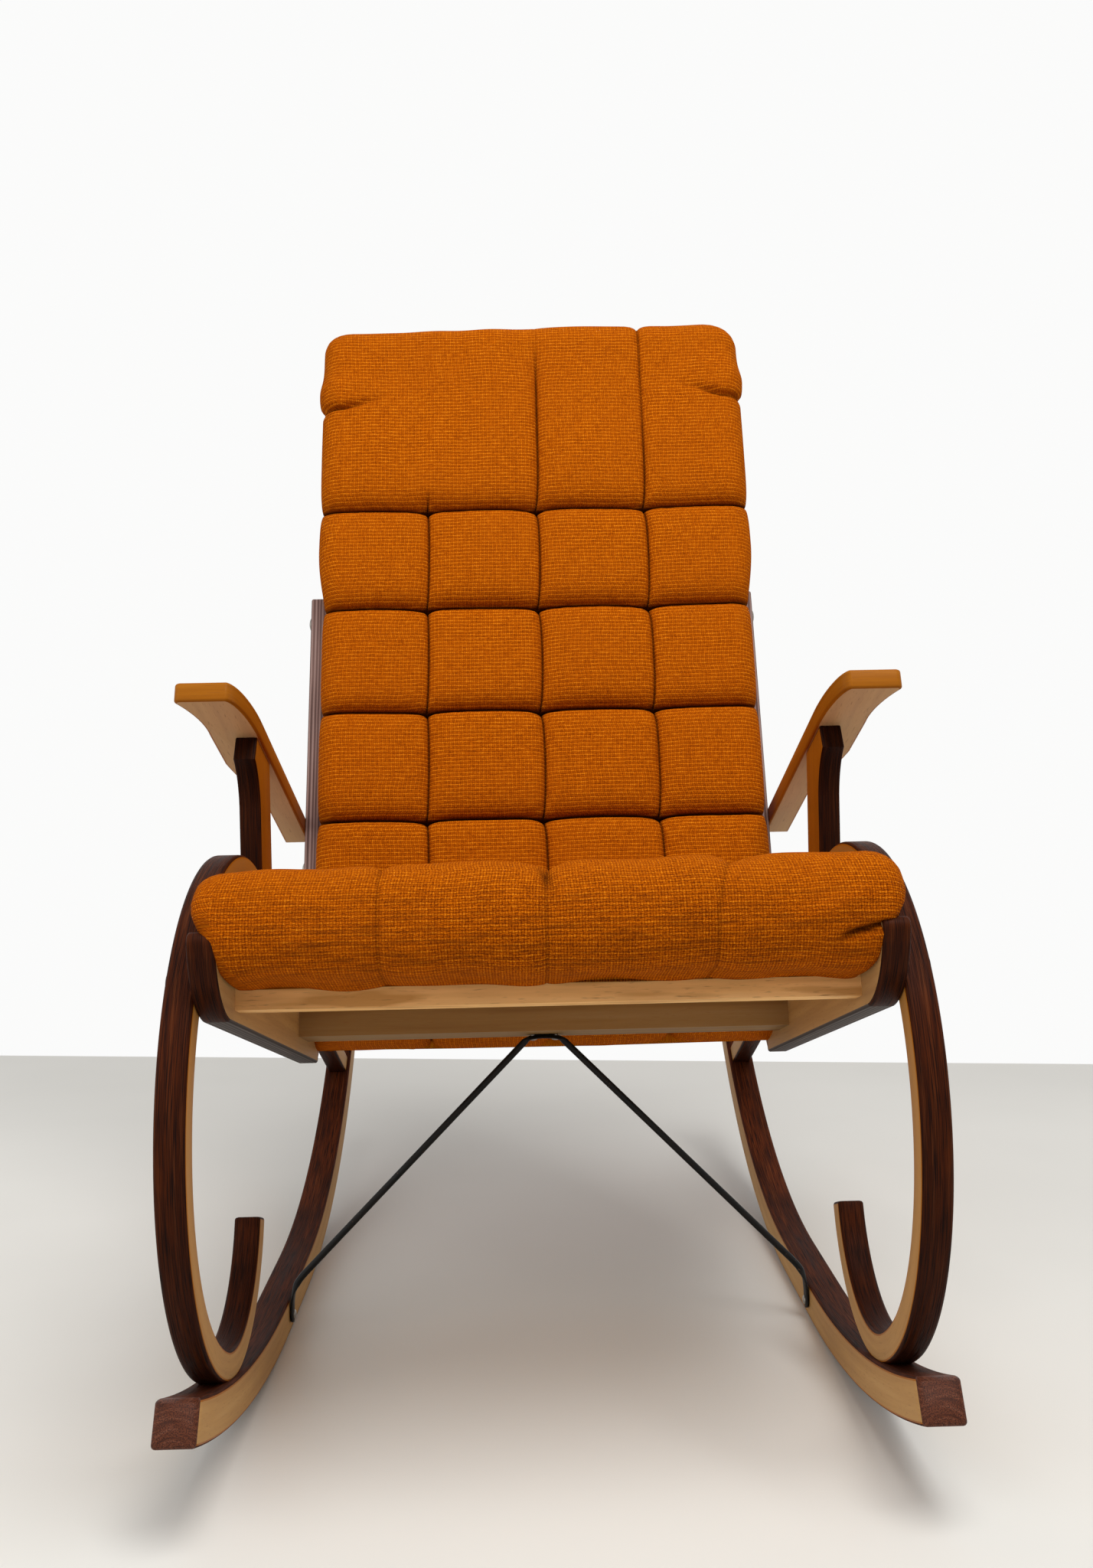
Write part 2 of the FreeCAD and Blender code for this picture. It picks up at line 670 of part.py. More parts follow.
def back_cushion():
    """Five rows of tufts, the tall panel above them, and the roll over the top of the frame."""
    rows = []
    for row in range(back_rows):
        foot = max(row * tuft_pitch, back_cushion_foot)
        head = (row + 1) * tuft_pitch
        half = back_top_half_width if head > stile_length else back_low_half_width
        rows.append(row_sections(back_section, foot, head, half, back_crown))
    start = back_rows * tuft_pitch
    neck = back_length + cover_thick
    panel = []
    for share in tuft_shares:
        full = 1 - (1 - share) ** 6
        height = back_crown - row_depth * (1 - full) - top_fall * share ** 6
        crease = tuft_depth * (seam_share - (seam_share - roll_crease) * share)
        half = back_top_half_width - side_draw * (1 - full)
        panel.append(back_section(start + (neck - start) * share, half, height, height - crease))
    rear = back_rear - cover_thick
    roll = []
    for turn in roll_turns:
        ahead = math.sin(math.radians(turn))
        fall = 1 - math.cos(math.radians(turn))
        crown = back_crown - top_fall - top_draw * fall
        half = back_top_half_width - top_draw * fall / 2
        roll.append(back_section(neck + (top_roll - cover_thick) * ahead, half, crown,
                                 crown - tuft_depth * roll_crease, rear=rear + top_draw * fall))
    beside = seat_block(0, back_bottom_s + stile_depth, -rail_height, rail_height + cushion_play,
                        rail_inner_x - cushion_play, side_plane_x + rail_thick)
    return tufted(rows + [panel, roll]).cut(beside).cut(mirrored(beside))


def rounded_path(points, radius):
    """Straight runs through the points, joined by tangent arcs."""
    edges = []
    last = points[0]
    for before, corner, after in zip(points, points[1:], points[2:]):
        back = (before - corner).normalize()
        ahead = (after - corner).normalize()
        half = back.getAngle(ahead) / 2
        middle = (back + ahead).normalize()
        reach = radius / math.tan(half)
        start = corner + back * reach
        end = corner + ahead * reach
        edges.append(line(last, start))
        edges.append(curve(start, corner + middle * (radius / math.sin(half) - radius), end))
        last = end
    edges.append(line(last, points[-1]))
    return Part.Wire(edges)


def v_brace():
    """Bent rod: flattened feet on the runners, a flattened saddle under the rear rail."""
    foot_x = runner_inner_x - rod_radius - cushion_play
    foot_top = brace_foot_z + brace_plate_height / 2 - rod_radius
    saddle = seat_point(brace_seat_s, rear_rail_low - rod_radius)
    foot = Vector(foot_x, brace_foot_y, foot_top)
    knee = foot + Vector(0, 0, brace_bend)
    top = saddle + across(brace_top_half)
    points = [foot, knee, top]
    points += [Vector(-p.x, p.y, p.z) for p in reversed(points)]
    path = rounded_path(points, brace_bend_radius)
    angles = [math.tau * number / rod_sides for number in range(rod_sides)]
    ring = Part.Wire(loop([foot + Vector(math.cos(a), math.sin(a), 0) * rod_radius for a in angles]))
    rod = path.makePipeShell([ring], True, False)
    corner = brace_foot - Vector(brace_plate_thick, brace_plate_width / 2, brace_plate_height / 2)
    plate = Part.makeBox(brace_plate_thick, brace_plate_width, brace_plate_height, corner)
    corners = [edge for edge in plate.Edges if abs(edge.tangentAt(edge.FirstParameter).x) > 0.9]
    plate = plate.makeFillet(brace_corner, corners)
    plate = plate.cut(bolt_hole(brace_foot, inward, brace_plate_thick, screw_radius))
    half = brace_plate_width / 2
    flat = seat_block(brace_seat_s - half, brace_seat_s + half, rear_rail_low - brace_plate_thick,
                      rear_rail_low, -brace_top_half, brace_top_half)
    solid = rod.fuse([flat, plate, mirrored(plate)])
    over = seat_block(brace_seat_s - 2 * half, brace_seat_s + 2 * half, rear_rail_low,
                      rear_rail_low + half, -2 * brace_top_half, 2 * brace_top_half)
    solid = solid.cut(over)
    for seat in brace_top:
        solid = solid.cut(bolt_hole(seat, seat_up * -1, rod_radius * 3, screw_radius))
    return solid


def brace_screws():
    thick = brace_plate_thick
    feet = [round_bolt(brace_foot - across(thick), out, thick + brace_foot_screw_length, screw_radius,
                       screw_head_radius, screw_head_height)]
    heads = 2 * rod_radius
    tops = [round_bolt(seat - seat_up * heads, seat_up, heads + brace_top_screw_length, screw_radius,
                       screw_head_radius, screw_head_height) for seat in brace_top]
    return both_sides(feet) + tops


def outer_bolts(seats, length):
    return both_sides([round_bolt(seat, inward, length, bolt_radius, bolt_head_radius, bolt_head_height)
                       for seat in seats])


def flush_screws(seats, length):
    return both_sides([flush_screw(seat, out, length) for seat in seats])


def save(name, solid):
    solid.exportStep("parts/" + name + ".step")
    print(name, round(solid.Volume), len(solid.Solids), solid.isValid())


os.makedirs("parts", exist_ok=True)
for name, make in (("rocker", runner), ("hoop", hoop), ("arm_post", arm_post), ("armrest", armrest),
                   ("seat_rail", seat_rail), ("back_stile", back_stile), ("back_upright", back_upright)):
    right = make()
    save(name + "_right", right)
    save(name + "_left", mirrored(right))

save("seat_front_rail", seat_cross_rail(*front_rail_place))
save("seat_rear_rail", seat_rear_rail())
save("seat_board", seat_block(front_rail_setback, seat_rear_s, board_height, board_height + board_thick,
                              -rail_inner_x, rail_inner_x))
for name, place in back_rail_places:
    save(name, back_rail(place))
save("back_board", back_block(back_foot, back_length, -back_board_thick, 0, -rail_inner_x, rail_inner_x))
save("back_cover", back_cover())
save("seat_cushion", seat_cushion())
save("back_cushion", back_cushion())
save("v_brace", v_brace())

fasteners = {
    "brace_screws": brace_screws(),
    "rail_bolts": outer_bolts([rail_bolt_seat], frame_bolt_length),
    "stile_bolts": outer_bolts([stile_bolt_seat], frame_bolt_length),
    "back_bolts": outer_bolts(back_bolt_seats, back_bolt_length),
    "arm_screws": flush_screws([arm_screw_seat], arm_screw_length),
    "lap_screws": flush_screws(lap_screw_seats, lap_screw_length),
    "hoop_screws": both_sides([flush_screw(*place, hoop_screw_length) for place in hoop_screw_places()]),
}
for name, solids in fasteners.items():
    save(name, Part.makeCompound(solids))
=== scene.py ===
import math
import bpy
import numpy as np
from mathutils import Matrix, Vector


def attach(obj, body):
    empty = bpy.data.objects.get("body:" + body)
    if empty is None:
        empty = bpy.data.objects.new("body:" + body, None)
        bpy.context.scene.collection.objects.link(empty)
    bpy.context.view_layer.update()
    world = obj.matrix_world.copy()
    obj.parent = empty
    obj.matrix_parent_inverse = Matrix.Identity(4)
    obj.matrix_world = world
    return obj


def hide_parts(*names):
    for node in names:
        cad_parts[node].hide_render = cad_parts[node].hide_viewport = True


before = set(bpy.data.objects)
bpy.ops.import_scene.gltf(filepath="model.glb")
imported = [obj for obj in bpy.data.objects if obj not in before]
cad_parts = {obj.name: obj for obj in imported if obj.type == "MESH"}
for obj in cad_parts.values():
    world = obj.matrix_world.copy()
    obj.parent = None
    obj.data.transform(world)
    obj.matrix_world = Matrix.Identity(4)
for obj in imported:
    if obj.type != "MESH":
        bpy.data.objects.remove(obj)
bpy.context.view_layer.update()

# Bentwood rocking chair: bent strips, boards, tufted cushions and their finishes.
# Lengths are millimetres until a mesh is made. Y and Z are the side view, X runs across the chair.
MM = 0.001
SIDES = ((1, "right"), (-1, "left"))
rng = np.random.default_rng(7)

# Side view of the frame, the same values as the model's
side_plane = 252.0
hoop_width, hoop_thick = 22.5, 24.0
runner_radius, runner_rear_radius, runner_height, runner_width = 1040.0, 700.0, 32.0, 31.0
runner_flat_front, runner_flat_rear, runner_reach = -110.0, 15.0, 501.0
scroll_y, scroll_radius, front_radius, top_radius = -323.0, 126.0, 206.5, 212.0
scroll_end, scroll_join, limb_slope, hoop_seat_depth = -19.0, 243.5, 25.5, 3.0
rail_thick, rail_height, rail_slope = 20.0, 57.0, 15.45
rail_front = np.array([-431.0, 353.0])
prow_length, prow_height, prow_brow = 62.0, 47.0, 7.5
stile_depth, stile_length, stile_lean, stile_foot_y = 40.0, 525.0, 19.2, -1.5
back_length, back_foot, back_rear, cover_thick = 845.0, 20.0, -32.0, 3.0
arm_thick, arm_slope, arm_length = 17.5, 21.0, 391.0
arm_front = np.array([-250.0, 595.0])
post_width, post_front, post_rear = 19.5, -163.0, -110.0
rod_radius, brace_foot_y, brace_foot_z, brace_half = 3.25, -108.0, 17.0, 18.0
brace_saddle_s, brace_saddle_n = 355.2, 16.0
tuft_pitch, seat_rows, back_rows = 122.0, 3, 5

# Rounded edges of the wood
hoop_corner, runner_corner, tip_round = 3.2, 3.0, 13.0
lap_edge, post_edge, arm_edge, arm_round = 2.2, 1.6, 2.4, 6.0

# Plan of an arm: distances from the middle of the chair, and along the arm from its front
arm_front_x, arm_corner_x, arm_waist_x, arm_tail_x = 312.0, 268.0, 297.0, 279.0
arm_corner, arm_waist, arm_shoulder, arm_tail = 90.0, 80.0, 150.0, 246.0

# Back cushion: crown ahead of the stiles, foot, top, and the lip behind the top of the frame
back_crown, back_cushion_foot, foot_bend_reach = 62.0, 12.0, 26.0
back_top, top_bend_start, top_middle = 861.0, 820.0, 12.0
lip_foot, lip_rear, lip_cloth = 836.0, -37.5, 1.3
back_half_low, back_half_high, back_edge = 238.0, 244.0, 25.0

# Seat cushion: crown above the rails, roll in front of them and its lower edge
seat_crown, seat_underside, seat_half_width, rear_bend_reach = 104.0, 58.0, 249.0, 30.0
roll_crown, roll_reach, roll_middle, roll_root, seat_drop = 113.0, 65.0, 64.0, 8.0, 24.0
seat_first_seam = 15.5

# Seams of the tufts: widths and depths of their creases, and how far the cloth swells over them
row_crease, column_crease, row_cut, column_cut = 2.4, 1.7, 5.0, 3.6
row_swell, column_swell, row_arch = 12.0, 9.0, 4.4
cushion_columns = 201

# Pitch of the cloth's yarns and thickness of the wood's plies
weave_pitch, ply = 2.15, 4.0


def circle(turn):
    """Unit vectors of the side view at angles in radians, counted from +Y towards +Z."""
    return np.stack([np.cos(turn), np.sin(turn)], -1)


def heading(angle):
    """Unit vector of the side view at an angle in degrees."""
    return circle(math.radians(angle))


def arc(centre, radius, start, end, count):
    """Points of a circle of the side view, from one angle to another."""
    return centre + radius * circle(np.radians(np.linspace(start, end, count)))


def unit(vectors):
    """The vectors at a length of 1."""
    return vectors / np.linalg.norm(vectors, axis=-1, keepdims=True)


def crossing(p, p_way, q, q_way):
    """Where the line through p meets the line through q."""
    gap = q - p
    turn = p_way[0] * q_way[1] - p_way[1] * q_way[0]
    return p + p_way * ((gap[0] * q_way[1] - gap[1] * q_way[0]) / turn)


def at_y(start, way, y):
    """Point of a side-view line at y."""
    return start + way * ((y - start[0]) / way[0])


def to_circle(start, way, centre, radius):
    """Where rays from the start points, inside a circle, reach it."""
    away = start - centre
    half = away @ way
    reach = np.sqrt(half ** 2 - np.sum(away ** 2, axis=-1) + radius ** 2) - half
    return start + way * reach[..., None]


def smooth(low, high, value):
    """0 at low and before it, 1 at high and beyond it, with an S between."""
    share = np.clip((value - low) / (high - low), 0, 1)
    return share * share * (3 - 2 * share)


def run_length(points, axis=0):
    """Distance along rows of points, from the first one."""
    steps = np.diff(points, axis=axis, prepend=np.take(points, [0], axis))
    return np.cumsum(np.linalg.norm(steps, axis=-1), axis=axis)


def paired(first, second):
    """Grid of pairs from a row and a column of numbers."""
    return np.stack(np.broadcast_arrays(first, second), -1)


def looked_up(places, run, points):
    """Points at places along a row of points whose distances are the run."""
    return np.stack([np.interp(places, run, points[:, k]) for k in (0, 1)], -1)


runner_centre = np.array([runner_flat_front, runner_radius])
runner_rear_centre = np.array([runner_flat_rear, runner_rear_radius])
scroll_gap = runner_radius - runner_height - scroll_radius + hoop_seat_depth
scroll_offset = scroll_y - runner_flat_front
scroll_drop = math.sqrt(scroll_gap ** 2 - scroll_offset ** 2)
scroll_centre = runner_centre + np.array([scroll_offset, -scroll_drop])
front_centre = scroll_centre - heading(scroll_join) * (front_radius - scroll_radius)
top_centre = front_centre + heading(180) * (front_radius - top_radius)
limb_way, limb_up = heading(-limb_slope), heading(90 - limb_slope)
limb_start = top_centre + limb_up * top_radius
seat_way, seat_up = heading(-rail_slope), heading(90 - rail_slope)
back_up, back_ahead = heading(90 - stile_lean), heading(180 - stile_lean)
stile_foot = crossing(rail_front, seat_way, np.array([stile_foot_y, 0.0]), np.array([0.0, 1.0]))
arm_way, arm_up = heading(-arm_slope), heading(90 - arm_slope)
hoop_outer = side_plane + hoop_width
hoop_middle = side_plane + hoop_width / 2
runner_inner = hoop_middle - runner_width / 2
rail_inner = side_plane - rail_thick


def seat_at(s, n):
    """Side-view points from the seat's own directions: s rearward, n square on it."""
    return rail_front + np.asarray(s)[..., None] * seat_way + np.asarray(n)[..., None] * seat_up


def back_at(t, m):
    """Side-view points from the back's own directions: t up the stile, m ahead of it."""
    return stile_foot + np.asarray(t)[..., None] * back_up + np.asarray(m)[..., None] * back_ahead


def with_x(points, x):
    """Side-view points as room points at x."""
    x = np.broadcast_to(x, points.shape[:-1])
    return np.concatenate([x[..., None], points], axis=-1)


# Shader maths
class Wire:
    """A socket of a node tree; arithmetic on it adds Math nodes."""

    def __init__(self, owner, socket):
        self.owner = owner
        self.socket = socket

    def math(self, operation, *others):
        """Any operation of the Math node on this socket and others."""
        return self.owner.node("ShaderNodeMath", dict(enumerate((self, *others))), operation=operation)

    def __add__(self, other):
        return self.math("ADD", other)

    def __sub__(self, other):
        return self.math("SUBTRACT", other)

    def __rsub__(self, other):
        return self.owner.node("ShaderNodeMath", {0: other, 1: self}, operation="SUBTRACT")

    def __mul__(self, other):
        return self.math("MULTIPLY", other)

    __radd__ = __add__


class Nodes:
    """The node tree of a material or of the world, emptied; node() adds any node to it."""

    def __init__(self, owner):
        owner.use_nodes = True
        self.tree = owner.node_tree
        self.tree.nodes.clear()

    def put(self, socket, value):
        """Links a wire to a socket, or gives the socket its value."""
        if isinstance(value, Wire):
            self.tree.links.new(value.socket, socket)
        else:
            socket.default_value = value

    def node(self, kind, sockets=None, out=0, stops=(), **settings):
        """Adds a node: its settings, the stops of its colour ramp, the values or links of its sockets."""
        made = self.tree.nodes.new(kind)
        for name, value in settings.items():
            setattr(made, name, value)
        if stops:
            ramp = made.color_ramp.elements
            while len(ramp) < len(stops):
                ramp.new(0.5)
            for element, (place, colour) in zip(ramp, stops):
                element.position = place
                element.color = (*colour, 1)
        for name, value in (sockets or {}).items():
            self.put(made.inputs[name], value)
        return Wire(self, made.outputs[out]) if made.outputs else None


class Finish(Nodes):
    """A material with one Principled shader, whose constant sockets are given by name."""

    def __init__(self, name, **constants):
        self.material = bpy.data.materials.new(name)
        super().__init__(self.material)
        surface = self.node("ShaderNodeBsdfPrincipled")
        self.shader = surface.socket.node
        self.set(**constants)
        self.node("ShaderNodeOutputMaterial", {"Surface": surface})

    def set(self, **values):
        """Values or wires of the shader's sockets."""
        for socket, value in values.items():
            self.put(self.shader.inputs[socket.replace("_", " ")], value)

    def done(self, colour, rough, height, depth, strength, **others):
        """Sets what varies over the surface, with a bump from a height, and returns the material."""
        bump = self.node("ShaderNodeBump", {"Height": height, "Distance": depth, "Strength": strength})
        self.set(Base_Color=colour, Roughness=rough, Normal=bump, **others)
        return self.material

    def place(self, turn=None):
        """The UV map, or object space turned by Euler angles. Grain runs along its first axis."""
        if turn is None:
            return self.node("ShaderNodeTexCoord", out="UV")
        return self.stretch(self.node("ShaderNodeTexCoord", out="Object"), (1, 1, 1), turn)

    def axis(self, place, name):
        """One coordinate of a place."""
        return self.node("ShaderNodeSeparateXYZ", {"Vector": place}, name)

    def stretch(self, place, scale, turn=(0, 0, 0), shift=(0, 0, 0)):
        """A place scaled along its axes, then turned, then moved."""
        return self.node("ShaderNodeMapping", {"Vector": place, "Scale": scale, "Rotation": turn,
                                               "Location": shift}, vector_type="POINT")

    def noise(self, place, scale, detail=4.0, rough=0.55, shift=(0, 0, 0)):
        """Noise at one scale, or at a scale for each axis of the place."""
        if isinstance(scale, tuple):
            place = self.stretch(place, scale, shift=shift)
            scale = 1.0
        return self.node("ShaderNodeTexNoise", {"Vector": place, "Scale": scale, "Detail": detail,
                                                "Roughness": rough})

    def span(self, value, low, high, to_low=0.0, to_high=1.0):
        """Value from low..high to another range, held at its ends."""
        return self.node("ShaderNodeMapRange", {"Value": value, "From Min": low, "From Max": high,
                                                "To Min": to_low, "To Max": to_high}, clamp=True)

    def ramp(self, value, stops, light=1.0):
        """Colour of a value between stops of (place, colour), all of them times light."""
        lit = [(place, tuple(light * channel for channel in colour)) for place, colour in stops]
        return self.node("ShaderNodeValToRGB", {"Fac": value}, stops=lit)

    def mix(self, share, first, second, blend="MIX"):
        """Colour mix: share 0 gives the first, 1 the second."""
        a, b = (colour if isinstance(colour, Wire) else (*colour, 1) for colour in (first, second))
        return self.node("ShaderNodeMix", {0: share, 6: a, 7: b}, 2, data_type="RGBA", blend_type=blend)


def stained_wood(name, light=1.0, dull=0.0):
    """Dark open-grained stain under satin lacquer, redder where hands have worn it; dull adds roughness."""
    finish = Finish(name, Coat_Roughness=0.3, IOR=1.5, Specular_IOR_Level=0.03)
    place = finish.place()
    streak = finish.noise(place, (5, 210, 210), 5.0, 0.62)
    pore = finish.span(finish.noise(place, (26, 1150, 1150), 3.0, 0.6), 0.36, 0.56)
    worn = finish.span(finish.noise(place, (4.5, 14, 14), 2.0, shift=(3, 1, 2)), 0.46, 0.68)
    dark = finish.ramp(streak, [(0.25, (0.016, 0.0042, 0.0022)), (0.52, (0.045, 0.0095, 0.0024)),
                                (0.8, (0.105, 0.032, 0.012))], light)
    red = finish.ramp(streak, [(0.25, (0.030, 0.0060, 0.0026)), (0.52, (0.095, 0.020, 0.0050)),
                               (0.8, (0.160, 0.046, 0.014))], light)
    tone = finish.mix(pore, (0.010, 0.004, 0.0033), finish.mix(worn * 0.8, dark, red))
    return finish.done(tone, finish.span(streak, 0.3, 0.75, 0.40 + dull, 0.54 + dull),
                       pore * 0.7 + streak * 0.5, 0.0004, 0.55, Coat_Weight=pore * 0.02)


def lacquered_wood(name):
    """Honey-coloured lacquer with fine brown flecks along the grain."""
    finish = Finish(name, Coat_Roughness=0.16, IOR=1.5, Specular_IOR_Level=0.04)
    place = finish.place()
    streak = finish.noise(place, (3.5, 95, 95), 5.0, 0.6)
    fleck = finish.span(finish.noise(place, (42, 900, 900), 2.0), 0.60, 0.74)
    cloud = finish.noise(place, (6, 11, 11), 2.0)
    tone = finish.ramp(streak * 0.65 + cloud * 0.35, [
        (0.3, (0.24, 0.070, 0.004)), (0.5, (0.36, 0.116, 0.007)), (0.72, (0.50, 0.195, 0.022))])
    return finish.done(finish.mix(fleck * 0.5, tone, (0.16, 0.055, 0.014)),
                       finish.span(streak, 0.3, 0.7, 0.30, 0.40), streak + fleck * -0.4, 0.0002, 0.35,
                       Coat_Weight=0.015 + fleck * 0.04)


def bare_wood(name, turn=None, pale=1.0, figure=0.0, glaze=0.0, bleach=0.0):
    """Plain beech with short brown flecks, faint bands and, with figure, orange clouds; hardly any gloss.
    With glaze, honey lacquer is left on it higher up on the chair; bleach makes it pale and greyer."""
    finish = Finish(name, IOR=1.45, Specular_IOR_Level=0.12)
    place = finish.place(turn)
    band = finish.noise(place, (2.5, 60, 60), 5.0, 0.6)
    fleck = finish.span(finish.noise(place, (70, 620, 620), 2.0), 0.60, 0.76)
    soil = finish.span(finish.noise(place, (7, 9, 9), 3.0, shift=(5, 2, 1)), 0.52, 0.75)
    tone = finish.ramp(band, [(0.3, (0.42, 0.215, 0.068)), (0.52, (0.56, 0.315, 0.112)),
                              (0.75, (0.66, 0.405, 0.170))], pale)
    if figure:
        cloud = finish.noise(place, (9, 70, 70), 2.0, shift=(1, 6, 4))
        tone = finish.mix(finish.span(cloud, 0.52, 0.62) * figure, tone, (0.52, 0.24, 0.055))
    if glaze:
        height = finish.axis(finish.place((0, 0, 0)), "Z")
        left = finish.span(height + (band - 0.5) * 0.15, 0.10, 0.46)
        tone = finish.mix(left * glaze, tone, (0.40, 0.150, 0.016))
    if bleach:
        tone = finish.mix(bleach, tone, (0.64, 0.43, 0.26))
    tone = finish.mix(fleck * 0.55, tone, (0.26, 0.125, 0.045))
    return finish.done(finish.mix(soil * 0.35, tone, (0.34, 0.185, 0.08)),
                       finish.span(band, 0.3, 0.7, 0.5, 0.62), band + fleck * -0.3, 0.0002, 0.3)


def end_grain(name, heart):
    """Sawn end of stained wood: growth rings, as noise over the distance from the tree's heart, which lies
    this far below the strip."""
    finish = Finish(name, IOR=1.5, Specular_IOR_Level=0.12)
    place = finish.place()
    across, below = finish.axis(place, "X"), finish.axis(place, "Y") + heart * MM
    far = (across * across + below * below).math("SQRT")
    round_heart = finish.node("ShaderNodeCombineXYZ", {"X": far, "Y": across})
    rings = finish.noise(round_heart, (330, 24, 1), 4.0, 0.6)
    pores = finish.span(finish.noise(place, 900.0, 2.0), 0.36, 0.56)
    tone = finish.ramp(rings, [(0.3, (0.040, 0.011, 0.0055)), (0.52, (0.125, 0.036, 0.017)),
                               (0.75, (0.21, 0.085, 0.052))])
    return finish.done(finish.mix(pores, (0.030, 0.010, 0.007), tone),
                       finish.span(rings, 0.3, 0.7, 0.42, 0.56), rings + pores * 0.5, 0.0003, 0.4)


def laminated_edge(name, tones):
    """Weathered edge of glued plies: bands, one for each ply, along the grain, in three tones."""
    finish = Finish(name, IOR=1.45, Specular_IOR_Level=0.12)
    place = finish.place()
    streak = finish.noise(place, (6, 190, 190), 4.0)
    wave = (finish.axis(place, "Y") * (math.tau / (ply * MM)) + streak * 3.0).math("SINE")
    tone = finish.ramp(streak * 0.6 + wave * 0.14 + 0.2, list(zip((0.25, 0.55, 0.8), tones)))
    return finish.done(tone, finish.span(streak, 0.3, 0.7, 0.55, 0.7), streak + wave * 0.1, 0.0002, 0.35)


def tweed(name, knotty=0.18, wear_and_highlight=0.0):
    """Plain weave of slubby yarn: bumps where warp or weft lies on top, every other yarn paler where its
    slubs come up, brown in the gaps, and near black where the mesh's painted seam shade lies. With
    the wear and highlight share, brown weft shows near the start of the cloth's run, and a little further
    on a painted highlight lightens a band along the top of the roll."""
    finish = Finish(name, IOR=1.4, Specular_IOR_Level=0.03)
    place = finish.place()
    pitch = weave_pitch * MM
    drift = finish.noise(place, 70.0, 2.0)
    wander = finish.noise(finish.stretch(place, (1, 1, 1), shift=(3.1, 7.7, 0)), 70.0, 2.0)
    across = finish.axis(place, "X") + (drift - 0.5) * (pitch * 0.7)
    along = finish.axis(place, "Y") + (wander - 0.5) * (pitch * 0.7)
    turn = math.tau / pitch
    warp, weft = ((way * turn).math("COSINE") * 0.5 + 0.5 for way in (across, along))
    half_warp, half_weft = ((way * (turn / 2)).math("COSINE") for way in (across, along))
    lift = finish.span(half_warp * half_weft * 0.5 + 0.5, 0.2, 0.8)
    height = warp * lift + weft * (1 - lift)
    slub = finish.noise(place, (1 / pitch, 110, 1), 3.0, 0.7)
    yarn = finish.noise(place, (95, 1 / pitch, 1), 3.0, 0.7, (4, 9, 0))
    pale_warp, pale_weft = (finish.span(half, 0.35, 0.95) * finish.span(thick, 0.24, 0.60)
                            for half, thick in ((half_warp, slub), (half_weft, yarn)))
    fuzz, knots, dye = (finish.noise(place, *grain) for grain in ((2300.0, 2.0), (620.0, 2.0), (48.0, 3.0)))
    dots = pale_warp * 0.35 + pale_weft * (warp * 0.6 + 0.55)
    shade = slub * 0.22 + yarn * 0.32 + fuzz * (0.30 + knotty * 0.8) + height * (knotty * 0.6)
    shade = shade + dots * (0.46 - knotty * 0.5) + (knots - 0.5) * (0.2 + knotty * 1.5) + (dye - 0.5) * 0.11
    shade = shade - knotty * 0.75 - 0.080
    tone = finish.ramp(shade, [(0.14, (0.155, 0.023, 0.0005)), (0.34, (0.385, 0.075, 0.0009)),
                               (0.55, (0.590, 0.131, 0.0014)), (0.88, (0.88, 0.295, 0.012))])
    faded = finish.span(finish.noise(place, 6.0, 3.0), 0.42, 0.68)
    tone = finish.mix(faded * 0.25, tone, (0.42, 0.085, 0.002))
    if wear_and_highlight:
        thread = finish.noise(place, (26, 0.5 / pitch, 1), 3.0, 0.7, (2, 5, 0))
        run = finish.axis(place, "Y")
        worn = finish.span(thread, 0.46, 0.64) * finish.span(run, 0.150, 0.085) * wear_and_highlight
        tone = finish.mix(worn, tone, (0.125, 0.026, 0.002))
        # Painted highlight: a lighter, less saturated band along the top of the seat's roll, where the light
        # from above falls.
        crest_highlight = finish.span(run, 0.105, 0.150) * finish.span(run, 0.215, 0.165)
        bright = finish.mix(1.0, tone, (1.25, 1.42, 1.5), "MULTIPLY")
        tone = finish.mix(crest_highlight * wear_and_highlight * 0.7, tone, bright)
    # Painted shade: the mesh's seam attribute darkens the cloth nearly to black in the cushions' seams, folds
    # and slit and along the rear cloth's turns.
    seam = finish.node("ShaderNodeAttribute", out=2, attribute_name="seam")
    tone = finish.mix(seam * 0.92, tone, (0.020, 0.0030, 0.0004))
    relief = height * (0.4 + knotty) + slub * 0.4 + yarn * 0.4 + fuzz * 0.4
    return finish.done(tone, finish.span(fuzz, 0.3, 0.7, 0.80, 0.95), relief, 0.0010, 0.7)


def black_enamel(name):
    """Brushed-on black paint over bent steel, duller and browner in patches."""
    finish = Finish(name, IOR=1.5, Specular_IOR_Level=0.16)
    place = finish.place((0, 0, 0))
    patch = finish.noise(place, 60.0, 4.0)
    chip = finish.span(finish.noise(place, 240.0, 3.0), 0.68, 0.74)
    tone = finish.ramp(patch, [(0.35, (0.004, 0.004, 0.004)), (0.7, (0.012, 0.010, 0.009))])
    return finish.done(finish.mix(chip, tone, (0.085, 0.055, 0.04)),
                       finish.span(patch, 0.35, 0.7, 0.38, 0.6), patch, 0.0004, 0.4, Metallic=chip * 0.6)


def dull_steel(name, bright=1.0):
    """Old zinc-plated steel with a grey bloom, darker where it has browned."""
    finish = Finish(name, IOR=2.0)
    bloom = finish.noise(finish.place((0, 0, 0)), 320.0, 4.0)
    tone = finish.ramp(bloom, [(0.3, (0.20, 0.18, 0.16)), (0.7, (0.46, 0.44, 0.40))], bright)
    return finish.done(tone, finish.span(bloom, 0.3, 0.7, 0.34, 0.6), bloom, 0.0002, 0.3,
                       Metallic=0.9 - bloom * 0.2)


